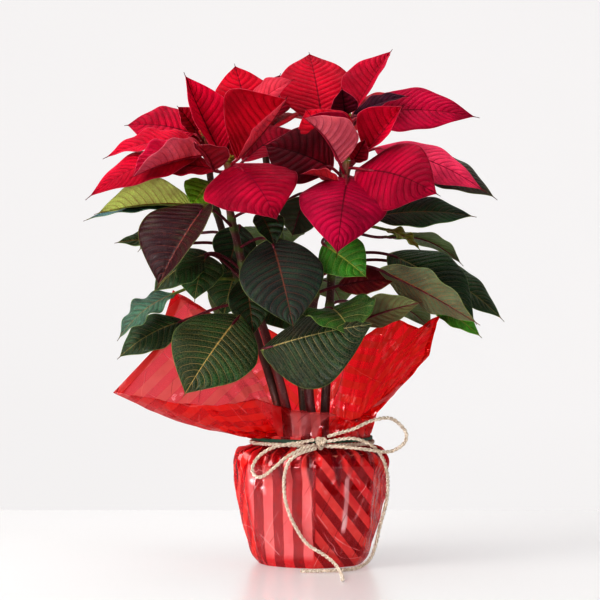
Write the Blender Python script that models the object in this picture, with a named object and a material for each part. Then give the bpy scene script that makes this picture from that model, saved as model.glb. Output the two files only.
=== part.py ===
"""A poinsettia in a nursery pot, wrapped in striped red film and tied with jute twine.

Sizes are in millimetres in the tables and become metres through MM. The origin is the middle of the
wrapped pot's foot, +Z is up, +X is to the right and +Y is to the back as one looks at the plant.
"""

import math

import bmesh
import bpy
import numpy as np
from mathutils import Vector

MM = 0.001
GAP = 0.35  # clearance between separate pieces that touch

# Pot
POT_HEIGHT = 88.0
POT_FOOT_RADIUS = 38.5
POT_MOUTH_RADIUS = 53.0
POT_WALL = 1.6
POT_LIP_RADIUS = 56.0
POT_LIP_HEIGHT = 10.0
POT_LIP_FOOT = 1.0
POT_SIDES = 24
DRAIN_HOLE_RADIUS = 4.0
DRAIN_HOLE_CIRCLE = 24.0
DRAIN_HOLES = 4

# Soil
SOIL_TOP = 78.0
SOIL_CROWN = 3.0
STEM_HOLE_CLEARANCE = 1.1

# Film wrap
FILM = 0.7
WRAP_COLUMNS = 36
POT_FOOT = FILM + 1.5 * GAP  # the pot stands on the film
WRAP_FOOT_RADIUS = 41.5
NECK_RADIUS = 45.5
NECK_HEIGHT = 94.6
NECK_LENGTH = 8.4
TIE_HEIGHT = 96.5
NECK_PLEAT = 0.9

# Twine and the elastic band above it
TWINE = 3.0
BAND_HEIGHT = 2.6
BAND_THICK = 0.9

# Blades
BLADE_THICK = 0.8
BLADE_STATIONS = (0.06, 0.24, 0.48, 0.72, 0.9, 1.0)
WIDE_BLADE = 56.0
TIP_HALF_WIDTH = 0.5
PETIOLE_RADIUS = 1.3
PETIOLE_RISE = 0.003  # how far a stalk arches up, for its length squared
RECEPTACLE = 25.0
BRACT_TOP = 4.0  # how far under the flower's middle the first bract joins
BRACT_PITCH = 2.3
RECEPTACLE_RADIUS = 2.8

# Each stem's middle line, from its foot in the soil to the flower at its top, and its two radii.
STEMS = {
    "left": dict(line=((-13, -6, 48), (-14, -6, 82), (-22, -8, 130), (-37, -10, 182), (-52, -12, 225),
                       (-60, -13, 258), (-66, -15, 286), (-66, -17, 319)), radii=(4.2, 2.9)),
    "right": dict(line=((7, -5, 48), (6, -5, 82), (-2, -8, 130), (-2, -12, 185), (8, -14, 240),
                        (22, -15, 283), (28, -16, 320)), radii=(4.2, 2.9)),
    "top": dict(line=((9, 10, 48), (9, 11, 82), (12, 18, 150), (16, 26, 230), (24, 34, 300),
                      (28, 38, 358)), radii=(4.0, 2.8)),
    "far_left": dict(line=((-17, 10, 48), (-18, 11, 82), (-32, 16, 140), (-56, 20, 215), (-78, 18, 285),
                           (-86, 12, 342)), radii=(3.8, 2.6)),
    "back": dict(line=((-3, 17, 48), (-4, 18, 82), (-9, 30, 150), (-20, 42, 230), (-34, 50, 300),
                       (-41, 52, 353)), radii=(3.9, 2.7)),
}


def blade(name, join, base, tip, face, width, bow=5.0, fold=12.0, curl=-14.0, lobe=0.05, wave=1.0, broad=0.4):
    """One leaf or bract. join is the height on its stem, base and tip are the ends of its midrib and face
    is the way that its upper side looks. fold and curl are in degrees, for both halves or (left, right), and
    broad says how far along the midrib it is widest."""
    pair = lambda value: value if isinstance(value, tuple) else (value, value)
    return dict(name=name, join=join, base=base, tip=tip, face=face, width=width, bow=bow,
                fold=pair(fold), curl=pair(curl), lobe=lobe, wave=wave, broad=broad)


def bract(name, *shape, **details):
    """A bract, whose height on the stem follows from its place in the list, from the top down."""
    return blade(name, None, *shape, **details)


BRACTS = {
    "left": [
        bract("cup", (-57, -24, 322), (-19, -40, 369), (-0.2, -0.95, 0.2), 84, -6, (10, 76), (16, 6), broad=0.56),
        bract("front", (-55, -34, 312), (-26, -74, 268), (0.05, -0.85, 0.52), 78, 9, (2, 6), (-18, -20), 0.16),
        bract("bud_leaf", (-78, -24, 313), (-90, -52, 330), (0.0, -0.35, 0.95), 36, 3, 32, -12),
        bract("upright", (-74, -10, 328), (-102, -8, 391), (0.25, -0.95, 0.1), 50, -4, (48, 12), (20, -10)),
        bract("right_back", (-53, -4, 322), (-10, 34, 348), (0.0, -0.6, 0.8), 42, 5, 16, -14),
        bract("left_low", (-77, -10, 313), (-127, -2, 307), (-0.1, -0.5, 0.85), 34, 7, 10, -16),
        bract("back_up", (-66, -4, 322), (-74, 26, 376), (0.1, -0.85, 0.5), 40, 4, 18, -12),
    ],
    "right": [
        bract("raised", (44, -18, 329), (72, -26, 364), (0.0, -0.96, 0.25), 48, -3, (8, 62), (16, 10)),
        bract("near_right", (46, -34, 311), (98, -68, 289), (0.15, -0.93, 0.35), 70, 8, (10, 2), (-14, -22)),
        bract("far_right", (54, -8, 330), (138, -20, 294), (0.15, -0.75, 0.65), 46, 9, (2, 6), (-26, -18)),
        bract("heart", (27, -34, 301), (18, -90, 241), (0.0, -0.8, 0.6), 70, 11, (0, 6), (-20, -20), 0.16),
        bract("folded", (21, -26, 319), (-8, -46, 352), (0.77, 0.0, 0.64), 50, 4, (60, 74), (10, 4)),
        bract("dark", (14, -18, 315), (-40, -4, 333), (0.0, -0.82, 0.57), 62, 5, 10, -18),
        bract("under", (20, -24, 302), (-10, -36, 308), (-0.1, 0.3, 0.95), 18, 3, 20, -12),
        bract("small", (33, -18, 320), (42, -24, 337), (0.35, -0.9, 0.2), 19, 1, (30, 40), 0),
        bract("back", (21, -6, 327), (-6, 8, 364), (0.0, -0.92, 0.4), 50, 3, 10, -12),
    ],
    "top": [
        bract("great", (8, 42, 362), (-2, 98, 420), (0.0, -0.78, 0.62), 66, 5, (8, 4), (-10, -14), 0.16),
        bract("high_right", (36, 46, 366), (68, 78, 420), (-0.25, -0.9, 0.35), 48, 3, (6, 52), (-8, 10)),
        bract("long_right", (42, 34, 361), (136, 20, 357), (0.05, -0.72, 0.7), 46, 7, (16, 2), (-10, -22)),
        bract("purple", (34, 24, 359), (79, 10, 374), (0.0, -0.5, 0.85), 24, 3, (20, 14), -8),
        bract("purple_small", (27, 24, 361), (24, 13, 381), (0.1, -0.95, 0.2), 26, 0, (20, 34), 4),
        bract("hidden_left", (15, 52, 364), (-8, 122, 408), (0.1, -0.7, 0.7), 50, 6, 12, -12),
        bract("back_right", (38, 52, 358), (100, 96, 374), (0.1, -0.2, 0.95), 50, 12, 12, -18),
        bract("back_low", (30, 56, 354), (34, 132, 348), (0.0, 0.4, 0.9), 52, 14, 12, -18),
    ],
    "far_left": [
        bract("left_high", (-98, 17, 345), (-152, 22, 351), (0.05, -0.8, 0.6), 50, 5, (14, 2), (-16, -20)),
        bract("left_mid", (-95, 4, 336), (-167, -4, 322), (0.0, -0.55, 0.83), 32, 7, 22, -18, wave=2.0),
        bract("left_tip", (-94, -4, 326), (-178, -30, 288), (-0.1, -0.6, 0.8), 46, 10, 6, -22),
        bract("trough", (-88, -8, 325), (-142, -46, 304), (0.05, 0.05, 1.0), 46, 3, (42, 50), (14, 8), wave=1.6),
        bract("spike", (-93, 6, 345), (-108, 0, 365), (0.5, -0.85, 0.2), 24, 1, 26, 0),
        bract("back_left", (-94, 22, 338), (-148, 74, 338), (-0.3, 0.2, 0.93), 44, 10, 12, -16),
        bract("back_far", (-86, 26, 342), (-98, 92, 352), (0.0, 0.0, 1.0), 46, 12, 12, -16),
    ],
    "back": [
        bract("high", (-51, 56, 355), (-65, 88, 409), (0.05, -0.86, 0.5), 50, 3, 8, -12),
        bract("high_left", (-50, 60, 354), (-68, 112, 400), (0.1, -0.7, 0.7), 44, 5, 12, -12),
        bract("pale", (-52, 42, 364), (-14, 16, 388), (-0.15, -0.75, 0.65), 36, 3, 14, -16),
        bract("back_a", (-44, 66, 350), (-62, 142, 352), (0.0, 0.35, 0.93), 52, 13, 12, -18),
        bract("back_b", (-34, 62, 352), (8, 124, 358), (0.1, 0.2, 0.95), 50, 12, 12, -16),
        bract("back_c", (-54, 60, 346), (-116, 112, 332), (-0.3, 0.3, 0.9), 50, 12, 12, -16),
        bract("in_gap", (-38, 60, 360), (-26, 84, 402), (0.0, -0.8, 0.5), 38, 2, 12, -10),
    ],
}

LEAVES = {
    "left": [
        blade("purple", 266, (-87, -40, 278), (-120, -60, 218), (-0.2, -0.95, 0.25), 78, 6, (44, 4), (20, -20), 0.14),
        blade("lower_left", 203, (-61, -44, 192), (-99, -78, 135), (-0.05, -0.92, 0.4), 70, 5, (6, 6), (-12, -16), 0.13),
        blade("centre", 250, (-30, -52, 251), (-14, -80, 186), (0.05, -0.93, 0.35), 66, 6, (6, 12), (-14, -20), 0.14),
        blade("twin_a", 220, (-84, -22, 243), (-92, -38, 208), (-0.25, -0.9, 0.35), 40, 4, 14, -14),
        blade("twin_b", 232, (-84, -16, 246), (-126, -24, 214), (-0.1, -0.65, 0.75), 44, 6, 10, -18),
        blade("hanging", 238, (-52, -24, 226), (-46, -36, 180), (0.1, -0.95, 0.2), 34, 4, 10, -12),
        blade("deep", 274, (-40, -40, 276), (-29, -50, 250), (0.3, -0.9, 0.25), 28, 3, 24, 6),
    ],
    "right": [
        blade("bottom", 178, (-34, -58, 173), (50, -72, 192), (0.05, -0.92, 0.4), 86, 6, (-38, 4), (-16, -18), 0.08),
        blade("curled", 190, (15, -45, 203), (31, -74, 180), (0.05, -0.62, 0.78), 60, 5, (12, 10), (12, 10), wave=2.4),
        blade("bright", 262, (10, -38, 252), (43, -56, 226), (0.0, -0.9, 0.45), 40, 3, 12, -12),
        blade("crimson", 214, (22, -16, 221), (70, -24, 226), (0.0, -0.85, 0.5), 26, 3, 10, -14),
        blade("pale_under", 228, (56, -30, 232), (130, -50, 190), (0.2, 0.72, 0.62), 46, 3, 12, -10, wave=2.6),
        blade("shelf", 285, (52, -16, 276), (130, -20, 275), (0.05, -0.6, 0.8), 44, 5, 10, -18),
        blade("pale_low", 200, (34, -34, 192), (86, -44, 208), (0.1, 0.7, 0.6), 32, 3, 14, -10),
    ],
    "top": [
        blade("right_big", 240, (68, 12, 244), (131, -10, 190), (0.4, -0.82, 0.42), 58, 10, (8, 6), (-18, -18), 0.1),
        blade("right_far", 232, (86, 30, 236), (156, 22, 192), (0.3, -0.65, 0.7), 44, 8, 8, -18),
        blade("grey", 300, (76, 16, 322), (149, 8, 290), (0.1, -0.65, 0.75), 44, 8, 6, -20),
        blade("small_bright", 228, (99, 26, 206), (137, 12, 179), (0.2, -0.7, 0.65), 24, 3, 8, -14),
        blade("curl", 268, (60, 8, 266), (87, 0, 249), (0.3, -0.5, 0.8), 16, 3, 20, -14, wave=2.0),
        blade("rear_right", 262, (62, 60, 262), (128, 84, 238), (0.3, 0.2, 0.92), 52, 10, 10, -18),
        blade("rear_low", 205, (50, 66, 206), (104, 104, 182), (0.3, 0.4, 0.85), 52, 10, 10, -18),
    ],
    "far_left": [
        blade("pale", 288, (-100, -3, 286), (-172, -22, 277), (-0.05, 0.35, 0.93), 44, 4, (40, 20), (8, -8)),
        blade("blue", 280, (-104, 12, 284), (-184, 10, 273), (-0.1, -0.3, 0.95), 34, 6, 10, -16),
        blade("lime", 300, (-82, -4, 303), (-96, -14, 283), (-0.1, -0.93, 0.3), 32, 2, 12, -10),
        blade("tip_left", 252, (-112, 6, 256), (-158, 0, 255), (-0.1, -0.55, 0.83), 26, 3, 10, -14),
        blade("crinkled", 225, (-112, 2, 214), (-155, -8, 177), (-0.5, -0.6, 0.65), 32, 6, 14, -16, wave=3.0),
        blade("low_left", 205, (-106, 12, 192), (-156, 2, 162), (-0.35, -0.75, 0.55), 40, 6, 8, -16),
        blade("rear_left", 262, (-98, 48, 266), (-146, 82, 250), (-0.3, 0.3, 0.9), 50, 9, 10, -18),
        blade("behind", 262, (-58, 10, 268), (-68, 2, 230), (-0.05, -0.97, 0.2), 36, 3, 10, -10),
    ],
    "back": [
        blade("rear_a", 262, (-30, 84, 268), (-36, 146, 244), (0.0, 0.45, 0.9), 54, 11, 10, -18),
        blade("rear_b", 215, (-44, 76, 220), (-84, 124, 192), (-0.3, 0.45, 0.85), 54, 10, 10, -18),
        blade("rear_c", 222, (6, 84, 226), (28, 136, 202), (0.1, 0.5, 0.85), 54, 10, 10, -18),
        blade("mid_gap", 284, (-6, 24, 292), (-16, 4, 260), (0.0, 0.9, 0.4), 32, 3, 10, -12),
        blade("rear_d", 292, (-66, 78, 296), (-112, 122, 280), (-0.3, 0.35, 0.9), 48, 9, 10, -18),
        blade("rear_e", 288, (-6, 78, 296), (46, 120, 284), (0.25, 0.3, 0.92), 50, 9, 10, -18),
    ],
}

# The film's wall from foot to neck: (height, radius).
WRAP_WALL = ((0.4, WRAP_FOOT_RADIUS), (9, 47.5), (32, 55.5), (60, 60.5), (80, 60.5), (91.2, 58.2))

# The film's free edge above the neck, going round from the right (+X) by the back: (x, y, z).
WRAP_RIM = (
    (101, -6, 197), (88, 30, 186), (66, 52, 196), (44, 66, 178), (14, 72, 186), (-14, 70, 172),
    (-44, 68, 190), (-80, 54, 196), (-113, 34, 218), (-127, 12, 170), (-158, -10, 136), (-108, -38, 129),
    (-74, -50, 127), (-44, -57, 133), (-16, -55, 124), (14, -54, 122), (30, -50, 114), (46, -42, 117),
    (66, -40, 138), (92, -26, 166),
)
# How far the film rises above its neck before it turns outwards, for each point of the free edge. Where it
# is low, the film also leaves the neck sideways, and hangs over the pot's shoulder as a trough.
WRAP_LIFT = (24, 25, 25, 25, 25, 25, 25, 25, 22, 14, -1, -2, 0, 8, 16, 16, 16, 18, 22, 24)
WRAP_LEAN = 0.42  # how far sideways a film that doesn't rise first turns, as a share of its way to the edge
FULL_LIFT = 25.0

# Twine: the knot, and points along each run that leaves it.
KNOT = (6.5, -52.75, 99.4)
KNOT_SIZE = (4.6, 3.2, 6.0)  # half of its width, depth and height
TWINE_RUNS = {
    "twine_loop_right": ((11.6, -54, 104), (21.5, -53, 107), (31, -53, 109.5), (42.5, -53, 115), (53.5, -51, 118),
                         (61, -46, 117.5), (68, -44, 113), (73, -43, 106), (72, -44, 99), (65.5, -47, 94),
                         (57, -51, 92), (43.5, -56, 94), (26.5, -58.5, 96.2), (11.6, -56, 96.5)),
    "twine_loop_left": ((1.3, -55, 101.5), (-9.5, -55, 99.5), (-29, -53, 96), (-40.5, -51.5, 89.5), (-46, -51, 81.5),
                        (-46, -51, 75.5), (-42, -54, 72.5), (-36, -58, 75), (-29, -62, 81), (-20.5, -64, 88.5),
                        (-9.5, -62, 94.5), (1.3, -56.5, 97.6)),
    "twine_tail_right": ((11.6, -54, 100.2), (27, -53, 102.5), (38, -52, 101), (48.5, -50, 95), (55, -44, 86),
                         (58.5, -34, 75), (59.5, -28, 63), (58, -27, 49), (53.5, -28.5, 33), (50, -28, 18),
                         (45.5, -34, 7.5), (36, -49, 2.4), (20.5, -63, 1.9), (4, -66, 1.9), (-9, -67, 1.9)),
    "twine_tail_left": ((2.6, -58.4, 95.2), (-8.5, -66, 92.5), (-17, -68.5, 87), (-20.5, -67.5, 79.5), (-22, -65, 70),
                        (-21.5, -64, 60), (-19.5, -62.5, 50), (-14, -61, 36.5), (-4, -58.5, 21.5), (8.5, -59, 13.5),
                        (17, -66, 7.2), (21, -81, 3), (22, -98, 1.9), (22, -116, 1.9)),
}

# Flower buds: how many stand on each flower's middle, and their size.
BUDS = {"left": 6, "right": 8, "top": 6, "far_left": 6, "back": 6}
BUD_RADIUS = 1.75
BUD_HEIGHT = 6.5
BUD_RING = 2.5


def unit(vector):
    vector = np.asarray(vector, float)
    return vector / np.linalg.norm(vector)


def smooth_line(points, steps):
    """A Catmull-Rom curve through the points, with that many steps between each two."""
    points = np.asarray(points, float)
    ends = np.vstack([2 * points[0] - points[1], points, 2 * points[-1] - points[-2]])
    made = []
    for i in range(1, len(ends) - 2):
        before, start, stop, after = ends[i - 1:i + 3]
        for t in np.arange(steps) / steps:
            made.append(0.5 * (2 * start + (stop - before) * t
                               + (2 * before - 5 * start + 4 * stop - after) * t ** 2
                               + (3 * start - before - 3 * stop + after) * t ** 3))
    return np.vstack(made + [points[-1]])


def at_height(line, height):
    """The point of a rising line at a height."""
    return np.array([np.interp(height, line[:, 2], line[:, k]) for k in range(3)])


def outline(u, broad):
    """Half width of a blade along its midrib, as a share of the greatest: round at the base, drawn out at the tip."""
    u = np.asarray(u, float)
    rise = np.sin(np.pi / 2 * np.clip(u / broad, 0, 1)) ** 0.72
    fall = (1 - np.clip((u - broad) / (1 - broad), 0, 1) ** 1.75) ** 1.45
    return np.where(u < broad, rise, fall)


def blade_points(leaf, u, v):
    """Points of a blade's middle surface, u along the midrib from 0 to 1 and v across it from -1 to 1."""
    base, tip = np.array(leaf["base"], float), np.array(leaf["tip"], float)
    chord = tip - base
    length = np.linalg.norm(chord)
    face = np.array(leaf["face"], float)
    up = unit(face - face @ chord * chord / length ** 2)
    middle = (base + tip) / 2 + up * 2 * leaf["bow"]
    u, v = np.broadcast_arrays(np.asarray(u, float), np.asarray(v, float))
    a, b, c = ((1 - u) ** 2)[..., None], (2 * u * (1 - u))[..., None], (u ** 2)[..., None]
    spine = a * base + b * middle + c * tip
    along = 2 * (1 - u)[..., None] * (middle - base) + 2 * u[..., None] * (tip - middle)
    along /= np.linalg.norm(along, axis=-1, keepdims=True)
    normal = up - (along @ up)[..., None] * along
    normal /= np.linalg.norm(normal, axis=-1, keepdims=True)
    right = np.cross(along, normal)
    shape = outline(u, leaf["broad"])
    half = np.maximum(leaf["width"] / 2 * shape, TIP_HALF_WIDTH)
    side = np.abs(v)
    fold = np.radians(np.where(v < 0, leaf["fold"][0], leaf["fold"][1]))
    curl = np.radians(np.where(v < 0, leaf["curl"][0], leaf["curl"][1]))
    curl = np.where(np.abs(curl) < 1e-3, 1e-3, curl)
    out = half / curl * (np.sin(fold + curl * side) - np.sin(fold)) * np.sign(v)
    lift = half / curl * (np.cos(fold) - np.cos(fold + curl * side))
    ripple = leaf["wave"] * side ** 2 * np.sin(2 * np.pi * (3.3 * u + 0.21 * leaf["width"])) * shape
    swept = leaf["lobe"] * length * side ** 1.6 * (1 - u) ** 3
    return spine + right * out[..., None] + normal * (lift + ripple)[..., None] - along * swept[..., None]


def blade_normals(leaf, u, v, step=0.01):
    """The upper side's normals at the same places."""
    low_u, high_u = np.clip(u - step, 0, 1), np.clip(u + step, 0, 1)
    low_v, high_v = np.clip(v - step, -1, 1), np.clip(v + step, -1, 1)
    along = blade_points(leaf, high_u, v) - blade_points(leaf, low_u, v)
    across = blade_points(leaf, u, high_v) - blade_points(leaf, u, low_v)
    normal = np.cross(across, along)
    return normal / np.maximum(np.linalg.norm(normal, axis=-1, keepdims=True), 1e-9)


def petiole_line(leaf, start, steps):
    """The stalk's middle line, from the stem's middle to the blade's base, which it meets along the midrib."""
    base = np.array(leaf["base"], float)
    ahead = blade_points(leaf, np.array(0.03), np.array(0.0)) - base
    reach = np.linalg.norm(base - start)
    first = start + (base - start) * 0.35 + np.array([0, 0, PETIOLE_RISE * reach ** 2])
    second = base - unit(ahead) * 0.35 * reach
    t = np.linspace(0, 1, steps + 1)[:, None]
    return (1 - t) ** 3 * start + 3 * t * (1 - t) ** 2 * first + 3 * t ** 2 * (1 - t) * second + t ** 3 * base


def tube_rings(line, radii, angles):
    """Rings of points round a line, one for each of its points, at the given angles."""
    tangents = np.gradient(line, axis=0)
    side = np.cross(tangents[0], (0.0, 0.0, 1.0))
    if np.linalg.norm(side) < 1e-3:
        side = np.array([1.0, 0.0, 0.0])
    rings = []
    for point, tangent, radius in zip(line, tangents, radii):
        tangent = unit(tangent)
        side = unit(side - side @ tangent * tangent)
        up = np.cross(side, tangent)
        rings.append([point + radius * (math.cos(a) * side + math.sin(a) * up) for a in angles])
    return rings


def solid_from_rings(name, rings):
    """A closed mesh object through rings of equally many points, with its two ends filled."""
    shape = bmesh.new()
    loops = [[shape.verts.new(Vector(point) * MM) for point in ring] for ring in rings]
    for low, high in zip(loops, loops[1:]):
        for i in range(len(low)):
            j = (i + 1) % len(low)
            corners = (low[i], low[j], high[j], high[i])
            # Blades are split into triangles along the same diagonal on both faces.
            if i < len(low) // 2:
                shape.faces.new((corners[0], corners[1], corners[2]))
                shape.faces.new((corners[0], corners[2], corners[3]))
            else:
                shape.faces.new((corners[0], corners[1], corners[3]))
                shape.faces.new((corners[1], corners[2], corners[3]))
    shape.faces.new(loops[0])
    shape.faces.new(reversed(loops[-1]))
    bmesh.ops.recalc_face_normals(shape, faces=shape.faces)
    return object_from(name, shape)


def object_from(name, shape):
    mesh = bpy.data.meshes.new(name)
    shape.to_mesh(mesh)
    shape.free()
    made = bpy.data.objects.new(name, mesh)
    bpy.context.scene.collection.objects.link(made)
    return made


def blade_solid(leaf, start):
    """A blade and its stalk as one closed body, which begins at start inside the stem."""
    columns = 5 if leaf["width"] >= WIDE_BLADE else 3
    across = np.linspace(-1, 1, columns)
    step = math.pi / columns
    angles = [math.pi - step * (i + 0.5) for i in range(columns)]
    angles += [-a for a in reversed(angles)]
    stalk = petiole_line(leaf, start, 2)[:-1]
    # The stalk's rings lie in the same order as the blade's: its upper half from left to right, then back.
    axis_right = unit(np.cross(unit(np.array(leaf["tip"], float) - leaf["base"]), leaf["face"]))
    rings = []
    tangents = np.gradient(np.vstack([stalk, leaf["base"]]), axis=0)
    for point, tangent in zip(stalk, tangents):
        tangent = unit(tangent)
        right = unit(axis_right - axis_right @ tangent * tangent)
        up = np.cross(right, tangent)
        rings.append([point + PETIOLE_RADIUS * (math.cos(a) * right + math.sin(a) * up) for a in angles])
    for u in BLADE_STATIONS:
        u_row = np.full(columns, u)
        middle = blade_points(leaf, u_row, across)
        offset = blade_normals(leaf, u_row, across) * BLADE_THICK / 2
        rings.append(list(middle + offset) + list((middle - offset)[::-1]))
    return solid_from_rings(leaf["name"], rings)


def tube(name, line, radii, sides=8):
    angles = [2 * math.pi * i / sides for i in range(sides)]
    return solid_from_rings(name, tube_rings(np.asarray(line, float), radii, angles))


def united(body, members):
    """The body with its members joined to it by one Boolean union. The members are removed.

    The exact solver leaves open edges where thin blades cross at grazing angles, so this uses the other one.
    """
    group = bpy.data.collections.new(body.name + "_members")
    for member in members:
        group.objects.link(member)
        bpy.context.scene.collection.objects.unlink(member)
    join = body.modifiers.new("join", "BOOLEAN")
    join.operation, join.operand_type, join.solver = "UNION", "COLLECTION", "MANIFOLD"
    join.collection = group
    graph = bpy.context.evaluated_depsgraph_get()
    body.data = bpy.data.meshes.new_from_object(body.evaluated_get(graph))
    body.modifiers.clear()
    for member in members:
        bpy.data.objects.remove(member)
    bpy.data.collections.remove(group)
    keep_largest_piece(body.data)
    return body


def keep_largest_piece(mesh):
    """Drops loose scraps, and fills any hollow that the union sealed, by keeping the largest connected piece."""
    shape = bmesh.new()
    shape.from_mesh(mesh)
    pieces = []
    unseen = set(shape.verts)
    while unseen:
        piece = {unseen.pop()}
        edge_of_search = list(piece)
        while edge_of_search:
            vert = edge_of_search.pop()
            near = [edge.other_vert(vert) for edge in vert.link_edges]
            edge_of_search += [other for other in near if other in unseen]
            piece.update(near)
            unseen.difference_update(near)
        pieces.append(piece)
    for piece in sorted(pieces, key=len)[:-1]:
        bmesh.ops.delete(shape, geom=list(piece), context="VERTS")
    shape.to_mesh(mesh)
    shape.free()


def material(name, colour, roughness):
    made = bpy.data.materials.new(name)
    made.use_nodes = True
    shader = made.node_tree.nodes["Principled BSDF"]
    shader.inputs["Base Color"].default_value = (*colour, 1)
    shader.inputs["Roughness"].default_value = roughness
    return made


def finish(made, name, look, smooth=True):
    """Names an object, gives it its one material and shades its round parts smooth."""
    made.name = made.data.name = name
    made.data.materials.clear()
    made.data.materials.append(look)
    if smooth:
        made.data.shade_smooth()
        made.data.set_sharp_from_angle(angle=math.radians(40))
    return made


def turned(name, profile, sides):
    """A solid of revolution about Z from a closed (radius, height) outline that starts and ends on the axis."""
    angles = [2 * math.pi * i / sides for i in range(sides)]
    shape = bmesh.new()
    rows = []
    for radius, height in profile:
        if radius == 0:
            rows.append([shape.verts.new(Vector((0, 0, height)) * MM)])
        else:
            rows.append([shape.verts.new(Vector((radius * math.cos(a), radius * math.sin(a), height)) * MM)
                         for a in angles])
    for low, high in zip(rows, rows[1:]):
        for i in range(sides):
            j = (i + 1) % sides
            ring = [low[i % len(low)], low[j % len(low)], high[j % len(high)], high[i % len(high)]]
            shape.faces.new(list(dict.fromkeys(ring)))
    bmesh.ops.recalc_face_normals(shape, faces=shape.faces)
    return object_from(name, shape)


def cut(body, cutters):
    """The body with the cutters taken out of it. The cutters are removed."""
    group = bpy.data.collections.new(body.name + "_cutters")
    for cutter in cutters:
        group.objects.link(cutter)
        bpy.context.scene.collection.objects.unlink(cutter)
    drill = body.modifiers.new("drill", "BOOLEAN")
    drill.operation, drill.operand_type, drill.collection = "DIFFERENCE", "COLLECTION", group
    graph = bpy.context.evaluated_depsgraph_get()
    body.data = bpy.data.meshes.new_from_object(body.evaluated_get(graph))
    body.modifiers.clear()
    for cutter in cutters:
        bpy.data.objects.remove(cutter)
    bpy.data.collections.remove(group)
    return body


def pot_radius(height):
    """The pot's outer radius below its lip."""
    return POT_FOOT_RADIUS + (POT_MOUTH_RADIUS - POT_FOOT_RADIUS) * height / POT_HEIGHT


def make_pot(look):
    foot = POT_FOOT
    top = foot + POT_HEIGHT
    lip_under = top - POT_LIP_HEIGHT
    profile = [
        (0, foot), (POT_FOOT_RADIUS, foot), (pot_radius(POT_HEIGHT - POT_LIP_HEIGHT), lip_under),
        (POT_LIP_RADIUS, lip_under + POT_LIP_FOOT), (POT_LIP_RADIUS, top), (POT_MOUTH_RADIUS - POT_WALL, top),
        (POT_FOOT_RADIUS - POT_WALL, foot + POT_WALL), (0, foot + POT_WALL),
    ]
    pot = turned("pot", profile, POT_SIDES)
    holes = []
    for i in range(DRAIN_HOLES):
        angle = 2 * math.pi * (i + 0.5) / DRAIN_HOLES
        x, y = DRAIN_HOLE_CIRCLE * math.cos(angle), DRAIN_HOLE_CIRCLE * math.sin(angle)
        holes.append(tube("hole", [(x, y, foot - 3), (x, y, foot + POT_WALL + 3)], [DRAIN_HOLE_RADIUS] * 2))
    return finish(cut(pot, holes), "pot", look)


def make_soil(look):
    foot = POT_FOOT + POT_WALL + GAP

    def radius(height):
        return pot_radius(height - foot) - POT_WALL - 2 * GAP

    profile = [(0, foot), (radius(foot), foot), (radius(SOIL_TOP), SOIL_TOP),
               (radius(SOIL_TOP) * 0.72, SOIL_TOP + 0.6 * SOIL_CROWN), (radius(SOIL_TOP) * 0.4, SOIL_TOP + SOIL_CROWN),
               (0, SOIL_TOP + SOIL_CROWN)]
    soil = turned("soil", profile, POT_SIDES)
    holes = []
    for name, stem in STEMS.items():
        x, y, foot_height = stem["line"][0]
        upper = at_height(stem_line(name), SOIL_TOP + 12)
        line = [(x, y, foot_height - GAP), (x, y, foot_height + 20), tuple(upper)]
        holes.append(tube("hole", line, [stem["radii"][0] + STEM_HOLE_CLEARANCE] * 3))
    return finish(cut(soil, holes), "soil", look)


def wrap_rings():
    """The film's rows of points from its foot to its free edge, each with WRAP_COLUMNS points."""
    draw = np.random.default_rng(7)
    angles = 2 * np.pi * np.arange(WRAP_COLUMNS) / WRAP_COLUMNS
    ways = np.stack([np.cos(angles), np.sin(angles), np.zeros(WRAP_COLUMNS)], axis=1)
    up = np.array([0.0, 0.0, 1.0])
    zigzag = np.where(np.arange(WRAP_COLUMNS) % 2, 1.0, -1.0)
    drift = draw.uniform(-1, 1, (len(WRAP_WALL), WRAP_COLUMNS))
    rows = []
    for i, (height, radius) in enumerate(WRAP_WALL):
        crease = 0.0 if i == 0 else 0.9 * zigzag * (0.4 + 0.6 * np.abs(drift[i])) + 0.7 * drift[i]
        rows.append(ways * (radius + crease * np.ones(WRAP_COLUMNS))[:, None] + up * height)
    neck = ways * (NECK_RADIUS + NECK_PLEAT * zigzag)[:, None] + up * NECK_HEIGHT
    throat = ways * (NECK_RADIUS + 0.4 + NECK_PLEAT * zigzag)[:, None] + up * (NECK_HEIGHT + NECK_LENGTH)
    rim_points = np.array(WRAP_RIM, float)
    around = np.arange(WRAP_COLUMNS) / WRAP_COLUMNS * len(rim_points)
    low = around.astype(int)
    share = (around - low)[:, None]
    rim = rim_points[low] * (1 - share) + rim_points[(low + 1) % len(rim_points)] * share
    rim += ways * (2.6 * zigzag)[:, None]
    lifts = np.array(WRAP_LIFT, float)
    lift = (lifts[low] * (1 - share[:, 0]) + lifts[(low + 1) % len(lifts)] * share[:, 0])[:, None]
    level_way = (rim - throat) * (1, 1, 0)
    rows += [neck, throat]
    for t in (0.3, 0.65, 1.0):
        lifted = throat + up * lift + level_way * WRAP_LEAN * (1 - lift / FULL_LIFT)
        point = (1 - t) ** 2 * throat + 2 * t * (1 - t) * lifted + t ** 2 * rim
        rows.append(point + ways * (1.6 * zigzag * t * (1 - t))[:, None])
    return np.array(rows)


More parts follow.
